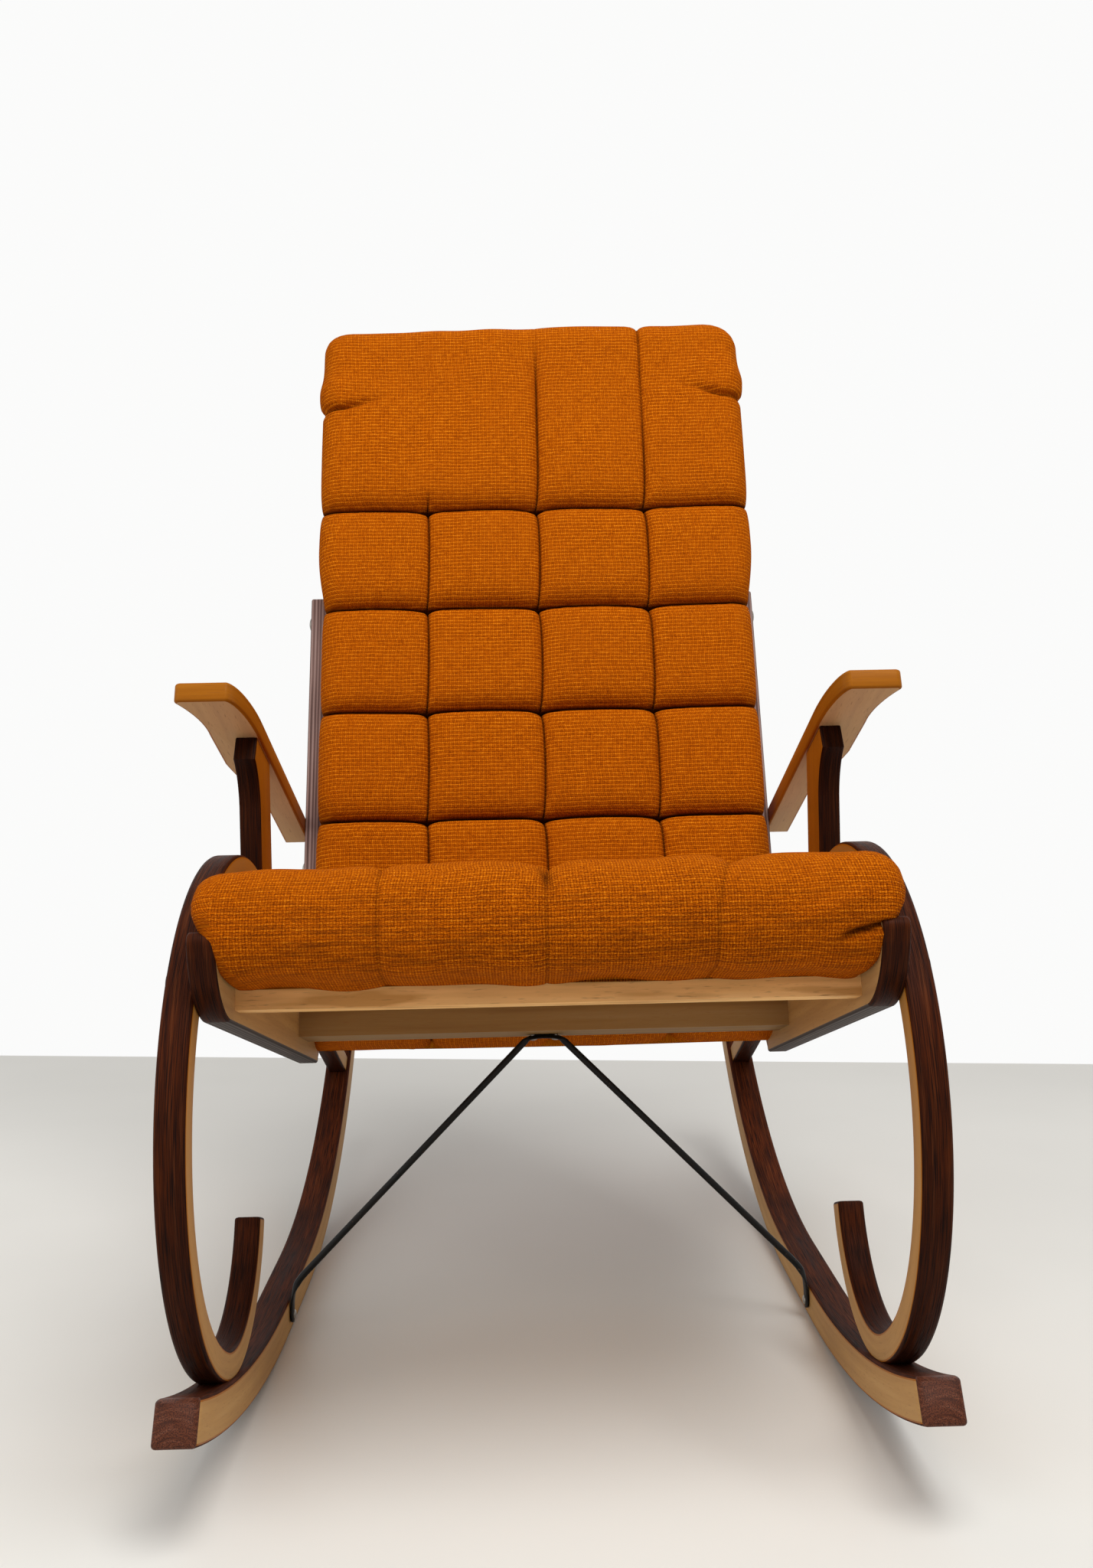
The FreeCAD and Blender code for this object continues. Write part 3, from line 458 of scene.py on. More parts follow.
cloth = tweed("orange_tweed")
# The seat's cloth has brown rubbed weft low on its roll and a painted highlight along the roll's top.
seat_cloth = tweed("rubbed_tweed_painted_highlight", knotty=0.42, wear_and_highlight=0.5)
enamel = black_enamel("black_enamel")
steel = dull_steel("dull_steel")
dark_steel = dull_steel("browned_steel", 0.25)
dark_plies = ((0.022, 0.016, 0.015), (0.075, 0.060, 0.055), (0.20, 0.175, 0.16))
grey_plies = ((0.055, 0.028, 0.024), (0.29, 0.185, 0.165), (0.52, 0.40, 0.37))
WOODS = [stained_wood("dark_stain"), lacquered_wood("honey_lacquer"), bare_wood("bare_beech", pale=0.86),
         laminated_edge("laminated_edge", dark_plies), end_grain("stained_end", 30.0),
         laminated_edge("weathered_edge", grey_plies), bare_wood("hoop_flank", pale=0.86, glaze=0.9),
         stained_wood("worn_runner_stain", 1.6, 0.14), bare_wood("arm_underside", pale=1.02, bleach=0.4),
         stained_wood("post_stain", 0.62)]
STAIN, HONEY, BEECH, SAWN, END, GREY, FLANK, WORN, UNDER, DARK = range(len(WOODS))


class Surface:
    """Collects the points and faces of one piece, in millimetres, and makes its mesh."""

    def __init__(self):
        self.points, self.faces, self.pairs, self.finish, self.seams = [], [], [], [], []
        self.count = 0

    def skin(self, faces, pairs, finish):
        """Adds faces of one size, with a UV pair for each of their corners."""
        self.faces.append(faces)
        self.pairs.append(pairs.reshape(-1, 2))
        self.finish.append(np.broadcast_to(finish, len(faces)))

    def grid(self, points, pairs, finish=0, closed=False, seam=0.0):
        """Adds a grid of rows by columns and gives the number of its first point. closed joins the last
        column to the first, and then pairs has one column more. finish is one number, or one for each
        face of a row or of the whole grid."""
        rows, columns = points.shape[:2]
        first = self.count
        self.points.append(points.reshape(-1, 3))
        self.seams.append(np.broadcast_to(seam, (rows, columns)).ravel())
        self.count += rows * columns
        r, c = np.meshgrid(np.arange(rows - 1), np.arange(columns if closed else columns - 1), indexing="ij")
        corners = [(r, c), (r, c + 1), (r + 1, c + 1), (r + 1, c)]
        faces = np.stack([row * columns + column % columns for row, column in corners], -1).reshape(-1, 4)
        uv = np.stack([pairs[row, column] for row, column in corners], 2)
        self.skin(faces + first, uv, np.broadcast_to(finish, r.shape).ravel())
        return first

    def tube(self, points, pairs, finish=0, seam=0.0, ends=None, tips=(0, 0)):
        """A closed grid with a flat face at each end. ends: the UV pairs of these faces, else those of the
        first and last row; tips: their finishes."""
        first = self.grid(points, pairs, finish, True, seam)
        rows, around = points.shape[:2]
        ring = first + np.arange(around)[None]
        start, end = ends or (pairs[0, :-1], pairs[-1, :-1])
        self.skin(ring[:, ::-1], start[::-1], tips[0])
        self.skin(ring + (rows - 1) * around, end, tips[1])

    def piece(self, name, finishes, side=1, angle=None, looks=None):
        """The mesh object, at the origin, mirrored to -X for side -1, with those of the finishes that it
        uses. Its faces point outwards, or those of an open sheet the way that it looks. Edges sharper than
        the angle stay sharp."""
        points = np.concatenate(self.points) * np.array([side * MM, MM, MM])
        fans = [np.stack([np.repeat(f[:, :1], f.shape[1] - 2, 1), f[:, 1:-1], f[:, 2:]], -1).reshape(-1, 3)
                for f in self.faces]
        a, b, c = (points[np.concatenate(fans)[:, corner]] for corner in range(3))
        inside = np.cross(a, b) * c if looks is None else np.cross(b - a, c - a) * looks
        order = -1 if np.sum(inside) < 0 else 1
        sizes = np.concatenate([np.full(len(f), f.shape[1]) for f in self.faces])
        corners = [faces[:, ::order].ravel() for faces in self.faces]
        pairs = [uv.reshape(len(faces), -1, 2)[:, ::order].reshape(-1, 2)
                 for faces, uv in zip(self.faces, self.pairs)]
        used, slots = np.unique(np.concatenate(self.finish), return_inverse=True)
        mesh = bpy.data.meshes.new(name)
        mesh.vertices.add(len(points))
        mesh.vertices.foreach_set("co", points.astype(np.float32).ravel())
        mesh.loops.add(int(sizes.sum()))
        mesh.loops.foreach_set("vertex_index", np.concatenate(corners).astype(np.int32))
        mesh.polygons.add(len(sizes))
        mesh.polygons.foreach_set("loop_start", (np.cumsum(sizes) - sizes).astype(np.int32))
        mesh.polygons.foreach_set("material_index", slots.astype(np.int32))
        mesh.update(calc_edges=True)
        layer = mesh.uv_layers.new(name="surface")
        layer.data.foreach_set("uv", (np.concatenate(pairs) * MM).astype(np.float32).ravel())
        # The seam attribute holds each point's painted shade, which the cloth's finish reads.
        shade = mesh.attributes.new("seam", "FLOAT", "POINT")
        shade.data.foreach_set("value", np.concatenate(self.seams).astype(np.float32))
        for number in used:
            mesh.materials.append(finishes[number])
        mesh.validate()
        mesh.shade_smooth()
        if angle:
            mesh.set_sharp_from_angle(angle=math.radians(angle))
        made = bpy.data.objects.new(name, mesh)
        bpy.context.scene.collection.objects.link(made)
        return made


def own(piece, slot, *nodes):
    """The piece rides with the chair and stands for the CAD nodes, which are hidden. slot: not used."""
    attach(piece, "root")
    if nodes:
        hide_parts(*nodes)
    return piece


def straight(start, end, step=6.0):
    """Points of a line without its last one."""
    count = max(2, int(np.linalg.norm(end - start) / step))
    return start + (end - start) * np.linspace(0, 1, count, endpoint=False)[:, None]


def bow(start, middle, end, count):
    """Points of the circle through three points, without the last one."""
    a, b = middle - start, end - start
    cross = 2 * (a[0] * b[1] - a[1] * b[0])
    centre = start + np.array([b[1] * (a @ a) - a[1] * (b @ b), a[0] * (b @ b) - b[0] * (a @ a)]) / cross
    angles = np.unwrap([math.atan2(*(p - centre)[::-1]) for p in (start, middle, end)])
    turn = np.linspace(angles[0], angles[2], count, endpoint=False)
    return centre + np.linalg.norm(start - centre) * circle(turn)


def drawn(start, *legs):
    """Outline from a start point, and the finish of each of its faces. A leg is a finish and the end of a
    line; for a bow the point that it passes through and its number of points follow."""
    parts, rim = [], []
    for finish, end, *bent in legs:
        ends = np.asarray(start, float), np.asarray(end, float)
        parts.append(bow(ends[0], np.asarray(bent[0]), ends[1], bent[1]) if bent else straight(*ends))
        rim += [finish] * len(parts[-1])
        start = end
    return np.vstack(parts), np.array(rim)


def drawn_in(outline, inset):
    """Closed outline, counterclockwise, whose points move inwards along the mean of their edges' normals."""
    edge = unit(np.roll(outline, -1, axis=0) - outline)
    normal = np.stack([-edge[:, 1], edge[:, 0]], -1)
    both = normal + np.roll(normal, 1, axis=0)
    return outline + inset * 2 * both / np.maximum(np.sum(both ** 2, axis=1, keepdims=True), 1.0)


def slab(surface, outline, low, high, place, edge, grain, finishes, soft=(True, True)):
    """Outline carried from low to high. Its soft rims are quarter circles: the outline drawn in by
    edge times (1 - sine) at a height of edge times (1 - cosine). finishes: rim, low face, high face."""
    bends = edge * (1 - circle(np.radians(np.linspace(0, 90, 5)))[:, ::-1])
    start = bends if soft[0] else np.zeros((1, 2))
    end = bends[::-1] if soft[1] else np.zeros((1, 2))
    rings = np.concatenate([start + (0, low), end * (1, -1) + (0, high)])
    outlines = [drawn_in(outline, inset) for inset in rings[:, 0]]
    points = np.stack([place(loop, depth) for loop, depth in zip(outlines, rings[:, 1])])
    along = run_length(np.vstack([outline, outline[:1]]))
    way = heading(grain)
    turned = np.array([[way[0], -way[1]], [way[1], way[0]]])
    ends = outlines[0] @ turned, outlines[-1] @ turned
    surface.tube(points, paired(along, run_length(rings)[:, None]), finishes[0], ends=ends, tips=finishes[1:])


def rounded_section(half_across, half_deep, corner, steps=4):
    """Rectangle with quarter-circle corners, about its centre: (across, depth) pairs."""
    centres = np.array([(1, 1), (-1, 1), (-1, -1), (1, -1)]) * (half_across - corner, half_deep - corner)
    return np.concatenate([arc(centre, corner, 90 * number, 90 * number + 90, steps + 1)
                           for number, centre in enumerate(centres)])


def bent_strip(base, inwards, width, thick, corner, count, faces, ends, trims):
    """Rounded section carried along a side-view path: a point is base(s) + depth times the inward
    normal at s, across X by the section. trims give each depth's first and last s. faces: finish of
    the bent faces, the flanks, the rounded edges between them and the ends. ends: rounding of the two
    ends, in three rows each."""
    bevel = np.array([1, 0.3, 0])
    insets = np.concatenate([ends[0] * bevel, np.zeros(count - 6), ends[1] * bevel[::-1]])
    section = rounded_section(width / 2, thick / 2, corner)
    rings = section * (1 - insets[:, None, None] / np.array([width / 2, thick / 2]))
    depth = thick / 2 + rings[..., 1]
    start, end = (np.stack([trim(d) for d in depth]) for trim in trims)
    share = np.linspace(0.01, 0.99, count - 6)[:, None]
    s = start + ends[0]
    s[:3] = start[:3] + ends[0] * bevel[::-1, None]
    s[3:-3] += (end - start - sum(ends))[3:-3] * share
    s[-3:] = end[-3:] - ends[1] * bevel[:, None]
    run = run_length(base)
    flat = looked_up(s, run, base) + looked_up(s, run, inwards) * depth[..., None]
    around = run_length(np.vstack([section, section[:1]]))
    edge = np.abs(np.roll(section, -1, axis=0) - section)
    finish = np.where(edge[:, 0] > edge[:, 1] * 0.5, faces[0], faces[2])
    finish = np.where(edge[:, 1] > edge[:, 0] * 6, faces[1], finish)
    finish = np.tile(finish, (count - 1, 1))
    finish[[0, 1, -2, -1]] = faces[3]
    surface = Surface()
    surface.tube(with_x(flat, hoop_middle + rings[..., 0]), paired(s.mean(axis=1)[:, None], around), finish,
                 ends=(section, section), tips=(faces[3], faces[3]))
    return surface


# Runners and hoops
def joined(*parts):
    """Points of arcs, each with its centre, and their unit vectors towards those centres."""
    return (np.concatenate([points for points, _ in parts]),
            np.concatenate([unit(centre - points) for points, centre in parts]))


limb_run = 800.0             # longer than the limb, whose foot is trimmed to the runner
bends, bends_inwards = joined(
    (arc(scroll_centre, scroll_radius, scroll_end, scroll_join - 360, 60)[:-1], scroll_centre),
    (arc(front_centre, front_radius, scroll_join, 180, 60)[:-1], front_centre),
    (arc(top_centre, top_radius, 180, 90 - limb_slope, 60)[:-1], top_centre))
hoop_base = np.vstack([bends, limb_start, limb_start + limb_way * limb_run])
hoop_inwards = np.vstack([bends_inwards, -limb_up, -limb_up])
limb_s = run_length(hoop_base)[-2]
front_angle = 270 - math.degrees(math.asin((runner_reach + runner_flat_front) / runner_radius))
rear_angle = 270 + math.degrees(math.asin((runner_reach - runner_flat_rear) / runner_rear_radius))
runner_base, runner_inwards = joined(
    (arc(runner_centre, runner_radius, front_angle, 270, 60), runner_centre),
    (arc(runner_rear_centre, runner_rear_radius, 270, rear_angle, 60), runner_rear_centre))
runner_length = run_length(runner_base)[-1]


def hoop_foot(depth):
    """Where the limb at each depth meets the runner's rear arc, as s along the hoop."""
    start = limb_start - limb_up * depth[:, None]
    reach = to_circle(start, limb_way, runner_rear_centre, runner_rear_radius - runner_height)
    return limb_s + (reach - start) @ limb_way


def tip_pull(depth):
    """How far the runner's end is drawn back near its upper edge, as a quarter circle."""
    gap = np.clip(depth - (runner_height - tip_round), 0, tip_round)
    return tip_round - np.sqrt(tip_round ** 2 - gap ** 2)


for side, name in SIDES:
    strip = bent_strip(hoop_base, hoop_inwards, hoop_width, hoop_thick, hoop_corner, 260,
                       (STAIN, FLANK, HONEY, STAIN), (2.5, 0.01), (lambda depth: depth * 0, hoop_foot))
    own(strip.piece("bent_hoop_" + name, WOODS, side, 50), "bent_wood", "hoop_" + name)
    strip = bent_strip(runner_base, runner_inwards, runner_width, runner_height, runner_corner, 160,
                       (WORN, BEECH, HONEY, END), (3.0, 3.0),
                       (tip_pull, lambda depth: runner_length - tip_pull(depth)))
    own(strip.piece("bent_runner_" + name, WOODS, side, 50), "bent_wood", "rocker_" + name)

# Seat rails and stiles, halved into each other where they cross
lap_x = side_plane - rail_thick / 2
rail_top = seat_at(0.0, rail_height)
stile_rear = back_at(0.0, -stile_depth)
lap_low_rear = crossing(stile_foot, heading(30), stile_rear, back_up)
lap_top_front = crossing(rail_top, seat_way, stile_foot, back_up)
lap_top_rear = crossing(rail_top, seat_way, stile_rear, back_up)
prow_tip = seat_at(-prow_length, prow_height)
prow_top = seat_at(prow_brow - prow_length, rail_height)
prow_nose = seat_at(0.8 - prow_length, (prow_height + 2 * rail_height) / 3)
prow_sweep = seat_at(-prow_length * 0.66, prow_height * 0.36)
prow = [(STAIN, prow_tip, prow_nose, 10), (STAIN, rail_front, prow_sweep, 36), (SAWN, stile_foot)]
rail_outer = drawn(prow_top, *prow, (STAIN, lap_low_rear), (STAIN, lap_top_rear), (STAIN, prow_top))
rail_inside = drawn(prow_top, *prow, (STAIN, lap_top_front), (STAIN, prow_top))
stile_top = (STAIN, back_at(stile_length, -stile_depth)), (STAIN, back_at(stile_length, 0.0))
stile_outer = drawn(lap_top_rear, *stile_top, (GREY, lap_top_front), (STAIN, lap_top_rear))
stile_inside = drawn(lap_low_rear, *stile_top, (GREY, stile_foot), (STAIN, lap_low_rear))

# Arm posts and arms
foot_front, foot_rear = at_y(limb_start, limb_way, post_front), at_y(limb_start, limb_way, post_rear)
head_front, head_rear = at_y(arm_front, arm_way, post_front - 9.0), at_y(arm_front, arm_way, post_rear)
post_nose = at_y(arm_front, arm_way, post_front - 23.0) - np.array([0, 25.0])
cove_foot = np.array([post_front, post_nose[1] - 45.0])
cove_middle = (post_nose + cove_foot) / 2 + 4.0
post_outline, post_rim = drawn(
    foot_rear, (DARK, head_rear), (DARK, head_front), (DARK, post_nose), (DARK, cove_foot, cove_middle, 24),
    (DARK, foot_front), (DARK, foot_rear))
corner_cut = arm_round * (1 - math.sqrt(0.5))
inner_corner = (side_plane, 0) + np.array([arm_corner_x - side_plane, arm_corner]) * (
    1 - circle(np.radians(np.linspace(90, 0, 48)))[:, ::-1])
half_waist = ((arm_front_x + arm_waist_x * 2) / 3, arm_waist * 0.4)
slant = ((arm_waist_x + arm_tail_x) / 2 + 1.8, (arm_shoulder + arm_tail) / 2)
arm_side, _ = drawn(
    inner_corner[-1], (HONEY, (arm_front_x - arm_round, 0)),
    (HONEY, (arm_front_x - 0.6, arm_round), (arm_front_x - corner_cut, corner_cut), 10),
    (HONEY, (arm_waist_x, arm_waist), half_waist, 24), (HONEY, (arm_waist_x, arm_shoulder)),
    (HONEY, (arm_tail_x, arm_tail), slant, 24), (HONEY, (arm_tail_x, arm_length)),
    (HONEY, (side_plane, arm_length)), (HONEY, (side_plane, arm_corner)))
arm_outline = np.vstack([arm_side, inner_corner[:-1]])


def on_arm(outline, rise):
    """Arm plan (x, s) at a rise above its underside, as room points."""
    return with_x(arm_front + outline[:, 1:] * arm_way + rise * arm_up, outline[:, 0])


for side, name in SIDES:
    for label, node, grain, (outer, outer_rim), (inside, inside_rim) in (
            ("rail_", "seat_rail_", -rail_slope, rail_outer, rail_inside),
            ("stile_", "back_stile_", 90 - stile_lean, stile_outer, stile_inside)):
        board = Surface()
        slab(board, outer, lap_x, side_plane, with_x, lap_edge, grain,
             (outer_rim, HONEY, HONEY), (False, True))
        slab(board, inside, rail_inner, lap_x, with_x, lap_edge, grain,
             (inside_rim, BEECH, BEECH), (True, False))
        own(board.piece(label + name, WOODS, side, 40), "frame_wood", node + name)
    board = Surface()
    slab(board, post_outline, hoop_outer - post_width, hoop_outer, with_x, post_edge, 90,
         (post_rim, HONEY, HONEY))
    own(board.piece("post_" + name, WOODS, side, 40), "frame_wood", "arm_post_" + name)
    board = Surface()
    slab(board, arm_outline, 0, arm_thick, on_arm, arm_edge, 90, (HONEY, UNDER, HONEY))
    own(board.piece("arm_" + name, WOODS, side, 40), "arm_wood", "armrest_" + name)


# Upholstery
class Waves:
    """Sum of sines over two directions, with seeded headings and phases: soft unevenness of cloth."""

    def __init__(self, shortest, longest, count=10):
        length = np.exp(rng.uniform(math.log(shortest), math.log(longest), count))
        turn = rng.uniform(0, math.tau, count)
        self.row, self.column = math.tau * np.sin(turn) / length, math.tau * np.cos(turn) / length
        self.phase = rng.uniform(0, math.tau, count)

    def at(self, r, x):
        """Height of the waves at places r along the cloth and x across it."""
        waves = (np.sin(a * r + b * x + c) for a, b, c in zip(self.row, self.column, self.phase))
        return sum(waves) / math.sqrt(len(self.phase))


def nearest(value, places):
    """Signed distance from the nearest of the places."""
    gaps = np.stack([value - place for place in places])
    pick = np.argmin(np.abs(gaps), axis=0)
    return np.take_along_axis(gaps, pick[None], 0)[0]


def line(gap, width):
    """Bell of a seam's own width."""
    return np.exp(-(gap / width) ** 2)


def fading(gap, width):
    """Peak at a seam that falls away to both sides."""
    return np.exp(-np.abs(gap) / width)


def tufting(r, x, row_seams, column_seams, deep, creases):
    """Relief of buttonless tufts. A column seam bows to the right as 1 - (1 - distance / half pitch)
    squared between two row seams; a row seam rises in an arch over each tuft. Dips fall as (1 - distance /
    half pitch) to a power towards the seams, with a thin crease in each. Returns the relief, the moves
    along the profile and across that make the tufts swell over their seams, and the painted seam shade:
    dark lines in the seams, a band under each tuft's overhang, a softer band left of each column seam and
    a dark patch at each crossing."""
    half = tuft_pitch / 2
    middle = 1 - (1 - np.clip(np.abs(nearest(r, row_seams)) / half, 0, 1)) ** 2
    gap_x = np.full(np.shape(x), 1e3)
    strong = np.zeros(np.shape(x))
    for place, strength, bowed in column_seams:
        gap = x - place - bowed * middle
        near = np.abs(gap) < np.abs(gap_x)
        gap_x = np.where(near, gap, gap_x)
        strong = np.where(near, strength, strong)
    column = np.clip(1 - np.abs(gap_x) / half, 0, 1)
    gap_r = nearest(r - row_arch * (1 - column ** 3) + 3.2, row_seams)
    row = np.clip(1 - np.abs(gap_r) / half, 0, 1)
    near_row, near_column = fading(gap_r, row_crease), strong * fading(gap_x, column_crease)
    relief = -deep[0] * row ** 3.4 - deep[1] * strong * column ** 4.5 * (1 - 0.4 * row ** 3)
    relief = relief - row_cut * near_row - column_cut * near_column * (1 - near_row)
    pleat = np.clip(fading(gap_r, 15) + strong * fading(gap_x, 13), 0, 1.3) * (1 - fading(gap_r, 4))
    relief = relief + 0.4 * creases.at(r, x) * pleat
    turn_r, turn_x = (math.tau * np.clip(gap / tuft_pitch, -0.5, 0.5) for gap in (gap_r, gap_x))
    move_r = -row_swell * np.sin(turn_r) - 2.5 * row ** 2.8
    move_x = -column_swell * strong * np.sin(turn_x)
    # Painted shade: a band under the overhang of each tuft above a row seam, a softer band left of each
    # column seam, dark lines in both seams and a dark patch where they cross.
    above = np.where(gap_r > 0, 0.55 * fading(gap_r, 13), 0)
    painted_left_shade = np.where(gap_x < 0, 0.154 * fading(gap_x, 8), 0)
    shade = 1.1 * line(gap_r, 3.4) + above + strong * (0.70 * line(gap_x, column_crease) + painted_left_shade)
    shade = shade + strong * line(np.hypot(gap_r, gap_x), 9.0)
    return relief, move_r, move_x, np.clip(shade, 0, 1)


def crowded(low, high, places, count, reach):
    """Numbers from low to high, closer together near the places: equal steps of the sum of 1 + 3 bells."""
    fine = np.linspace(low, high, 4000)
    total = np.cumsum(1 + 3 * sum(line(fine - place, reach) for place in places))
    return np.interp(np.linspace(total[0], total[-1], count), total, fine)


def rows_along(curve, known, count, seams):
    """Coordinates of points along a curve, closer together near its row seams, and their distance along
    it, counted so that the point number known has its own first coordinate."""
    run = run_length(curve)
    run = run - run[known] + curve[known, 0]
    places = crowded(run[0], run[-1], seams, count, 12.0)
    return *looked_up(places, run, curve).T, places


def bend(centre, reach, powers, start, end, count):
    """Points about a centre: cosine and sine of angles from start to end, each raised to a power with its
    sign kept, times a reach."""
    shape = circle(np.radians(np.linspace(start, end, count)))
    return np.array(centre) + np.array(reach) * np.sign(shape) * np.abs(shape) ** np.array(powers)


def upholstered(name, finish, profile, core, half, core_half, aside, edge, relief, row_place):
    """Closed cushion. Rows follow a side-view profile; each row runs across the front, turns a quarter
    circle at each side, goes back to the core line and returns behind. relief(r, x) gives the moves
    of the front. The UV map is the distance along each row from its middle, and along the profile."""
    inner = np.max(half - edge)
    share = crowded(-inner, inner, (-tuft_pitch, 0.0, tuft_pitch), cushion_columns, 9.0) / inner
    way = unit(np.gradient(profile, axis=0))
    out = np.stack([way[:, 1], -way[:, 0]], -1)
    out *= np.sign(np.sum((profile - core) * out))
    run = run_length(profile)[:, None]
    profile, core, way, out = (vectors[:, None] for vectors in (profile, core, way, out))
    half, core_half, aside, edge = (values[:, None] for values in (half, core_half, aside, edge))
    x = share * (half - edge)
    rise, move_r, move_x, shade = relief(np.broadcast_to(row_place[:, None], x.shape), x)
    move_x = move_x + aside
    front = profile + out * rise[..., None] + way * move_r[..., None], x + move_x, move_r, shade
    reach = np.linalg.norm(core - profile, axis=-1)
    back_way = (core - profile) / np.maximum(reach, 0.01)[..., None]
    corner = np.minimum(edge, reach * 0.6)
    turn = np.radians(np.append(np.linspace(15, 90, 6), np.full(6, 90)))
    back = np.append(np.zeros(6), np.linspace(0, 1, 7)[1:])
    fade = np.cos(turn)
    sides = []
    for end, sign in ((-1, 1), (0, -1)):
        last_rise, last_r, last_x, last_shade = (v[:, end, None] for v in (rise, move_r, move_x, shade))
        slide = last_r * (0.35 * (1 - back) + 0.65 * fade)
        inward = corner * (1 - fade) + (reach - corner) * back
        wider = edge * (np.sin(turn) - 1) + (core_half - half) * np.sqrt(back)
        wider = wider + 0.22 * last_rise * (1 - back - fade)
        flat = profile + back_way * inward[..., None] + out * (last_rise * fade)[..., None]
        sides.append((flat + way * slide[..., None], last_x + sign * (half + wider), slide,
                      last_shade * np.linspace(1, 0.3, 12)))
    right_x, left_x = (part[1][:, -1:] for part in sides)
    rear_x = right_x + (left_x - right_x) * np.linspace(0, 1, 8)[1:-1]
    plain = np.zeros(rear_x.shape)
    rear = np.broadcast_to(core, rear_x.shape + (2,)), rear_x, plain, plain
    flat, across, moves, seam = (np.concatenate([a, b, c, d[:, ::-1]], axis=1)
                                 for a, b, c, d in zip(front, sides[0], rear, sides[1]))
    ring = with_x(flat, across)
    along = run_length(np.concatenate([ring, ring[:, :1]], axis=1), 1)
    along -= along[:, cushion_columns // 2, None]
    pairs = np.stack([along, run + np.concatenate([moves, moves[:, :1]], axis=1)], -1)
    surface = Surface()
    surface.tube(ring, pairs, seam=seam)
    return surface.piece(name, [finish])


# Back cushion: up the front from its foot, then over the top of the frame and a little way down behind it
top_rise, lip_rise = back_top - top_bend_start, back_top - lip_foot
front_foot = bend((back_cushion_foot + foot_bend_reach, 0), (foot_bend_reach, back_crown), (0.8, 0.7),
                  180, 90, 24)
front_foot[0, 1] = 0.8
front_top = bend((top_bend_start, top_middle), (top_rise, back_crown - top_middle), (0.8, 0.75), 90, 0, 30)
rear_top = bend((lip_foot, top_middle), (lip_rise, top_middle - lip_rear), (0.55, 0.75), 0, -87, 24)
back_row_seams = [tuft_pitch * row for row in range(1, back_rows + 1)]
back_t, back_m, back_rows_at = rows_along(np.concatenate([front_foot, front_top, rear_top[1:]]),
                                          len(front_foot) - 1, 400, back_row_seams)
over = np.clip((top_middle - back_m) / (top_middle - lip_rear), 0, 1) * (back_t > 800)
core_t = np.clip(back_t, 0, back_length) * (1 - over) + (back_length - 5 * over ** 4) * over
back_core = back_at(core_t, (lip_rear + lip_cloth) * over)
back_plain = back_half_low + (back_half_high - back_half_low) * smooth(500, 560, back_t) - 4 * over
rounding = np.clip((back_t - top_bend_start) / top_rise, 0, 0.985)
back_half = back_plain - 36 * (1 - np.sqrt(1 - rounding ** 2))
back_aside = (4.5 + smooth(400, 800, back_t)) * (1 - 0.8 * over)
back_lumps, back_creases = Waves(60, 190), Waves(8, 26, 16)
back_crest = back_rows_at[np.argmax(back_t)]


def back_relief(r, x):
    """Tufts up to the tall top panel, whose left seam soon ends, whose middle one ends below the top
    and whose right one runs over it; a fold at each upper corner, which bulges above it and has painted shade
    in its crease."""
    top = tuft_pitch * back_rows
    columns = [(-tuft_pitch, 1 - smooth(top + 8, top + 34, r), 3.0),
               (0.0, 1 - 0.95 * smooth(top + 150, top + 225, r), 4.5),
               (tuft_pitch, 1 - 0.3 * smooth(top + 40, top + 140, r), 4.0)]
    rise, move_r, move_x, shade = tufting(r, x, back_row_seams, columns, (16.0, 9.0), back_creases)
    rise = rise + 1.4 * back_lumps.at(r, x) * (1 - 0.75 * line(r - back_crest, 60))
    for sign, height, slope, reach in ((-1, 737, 0.20, 80), (1, 746, 0.28, 76)):
        inward = 241 - sign * x
        gap = r - (height + slope * inward)
        weight = smooth(reach, 10, inward)
        rise = rise + weight * (5.0 * line(gap - 22, 20) - 9.0 * line(gap, 5.0))
        move_r = move_r - weight * 7.0 * line(gap - 9, 9)
        move_x = move_x + sign * weight * 4.0 * (line(gap - 24, 18) - line(gap, 6))
        # Painted shade in the crease of the fold.
        shade = np.clip(shade + 0.75 * weight * fading(gap, 3.0), 0, 1)
    rise = rise - 10.0 * smooth(80, -240, x) * line(r - back_crest, 55)
    return rise, move_r, move_x, shade


back_pad = upholstered("back_tufting", cloth, back_at(back_t, back_m), back_core, back_half, back_plain - 4.5,
                       back_aside, np.full(len(back_t), back_edge), back_relief, back_rows_at)
own(back_pad, "tweed", "back_cushion")

# Seat cushion: from behind the lower edge of its roll over the front, along the top, down at the rear
seat_rear = (stile_foot - rail_front) @ seat_way - back_crown - 2.0
roll_centre, roll_ahead = (roll_root, roll_middle), -(roll_root + roll_reach)
roll_line = np.concatenate([
    [[15.0, seat_drop]],
    bend(roll_centre, (roll_ahead, roll_middle - seat_drop), (0.5, 0.9), -90, 0, 40),
    bend(roll_centre, (roll_ahead, roll_crown - roll_middle), (0.8, 0.9), 0, 90, 40)[1:]])
rear_bend = bend((seat_rear - rear_bend_reach, seat_underside),
                 (rear_bend_reach, seat_crown - seat_underside), (0.7, 0.7), 90, 3, 30)
seat_pitch = (seat_rear - seat_first_seam) / seat_rows
seat_row_seams = [seat_first_seam + seat_pitch * row for row in range(seat_rows)]
seat_s, seat_n, seat_rows_at = rows_along(np.concatenate([roll_line, rear_bend]), len(roll_line) - 1, 270,
                                          seat_row_seams)
at_rear = seat_s >= 100
on_top = np.where(at_rear, 1.0, smooth(57.4, 60.0, seat_n))
core_s = np.clip(seat_s, seat_first_seam, seat_rear - 0.6)
core_n = np.clip(seat_n, seat_drop + 0.8, 57.2) * (1 - on_top) + (seat_underside + 0.2) * on_top
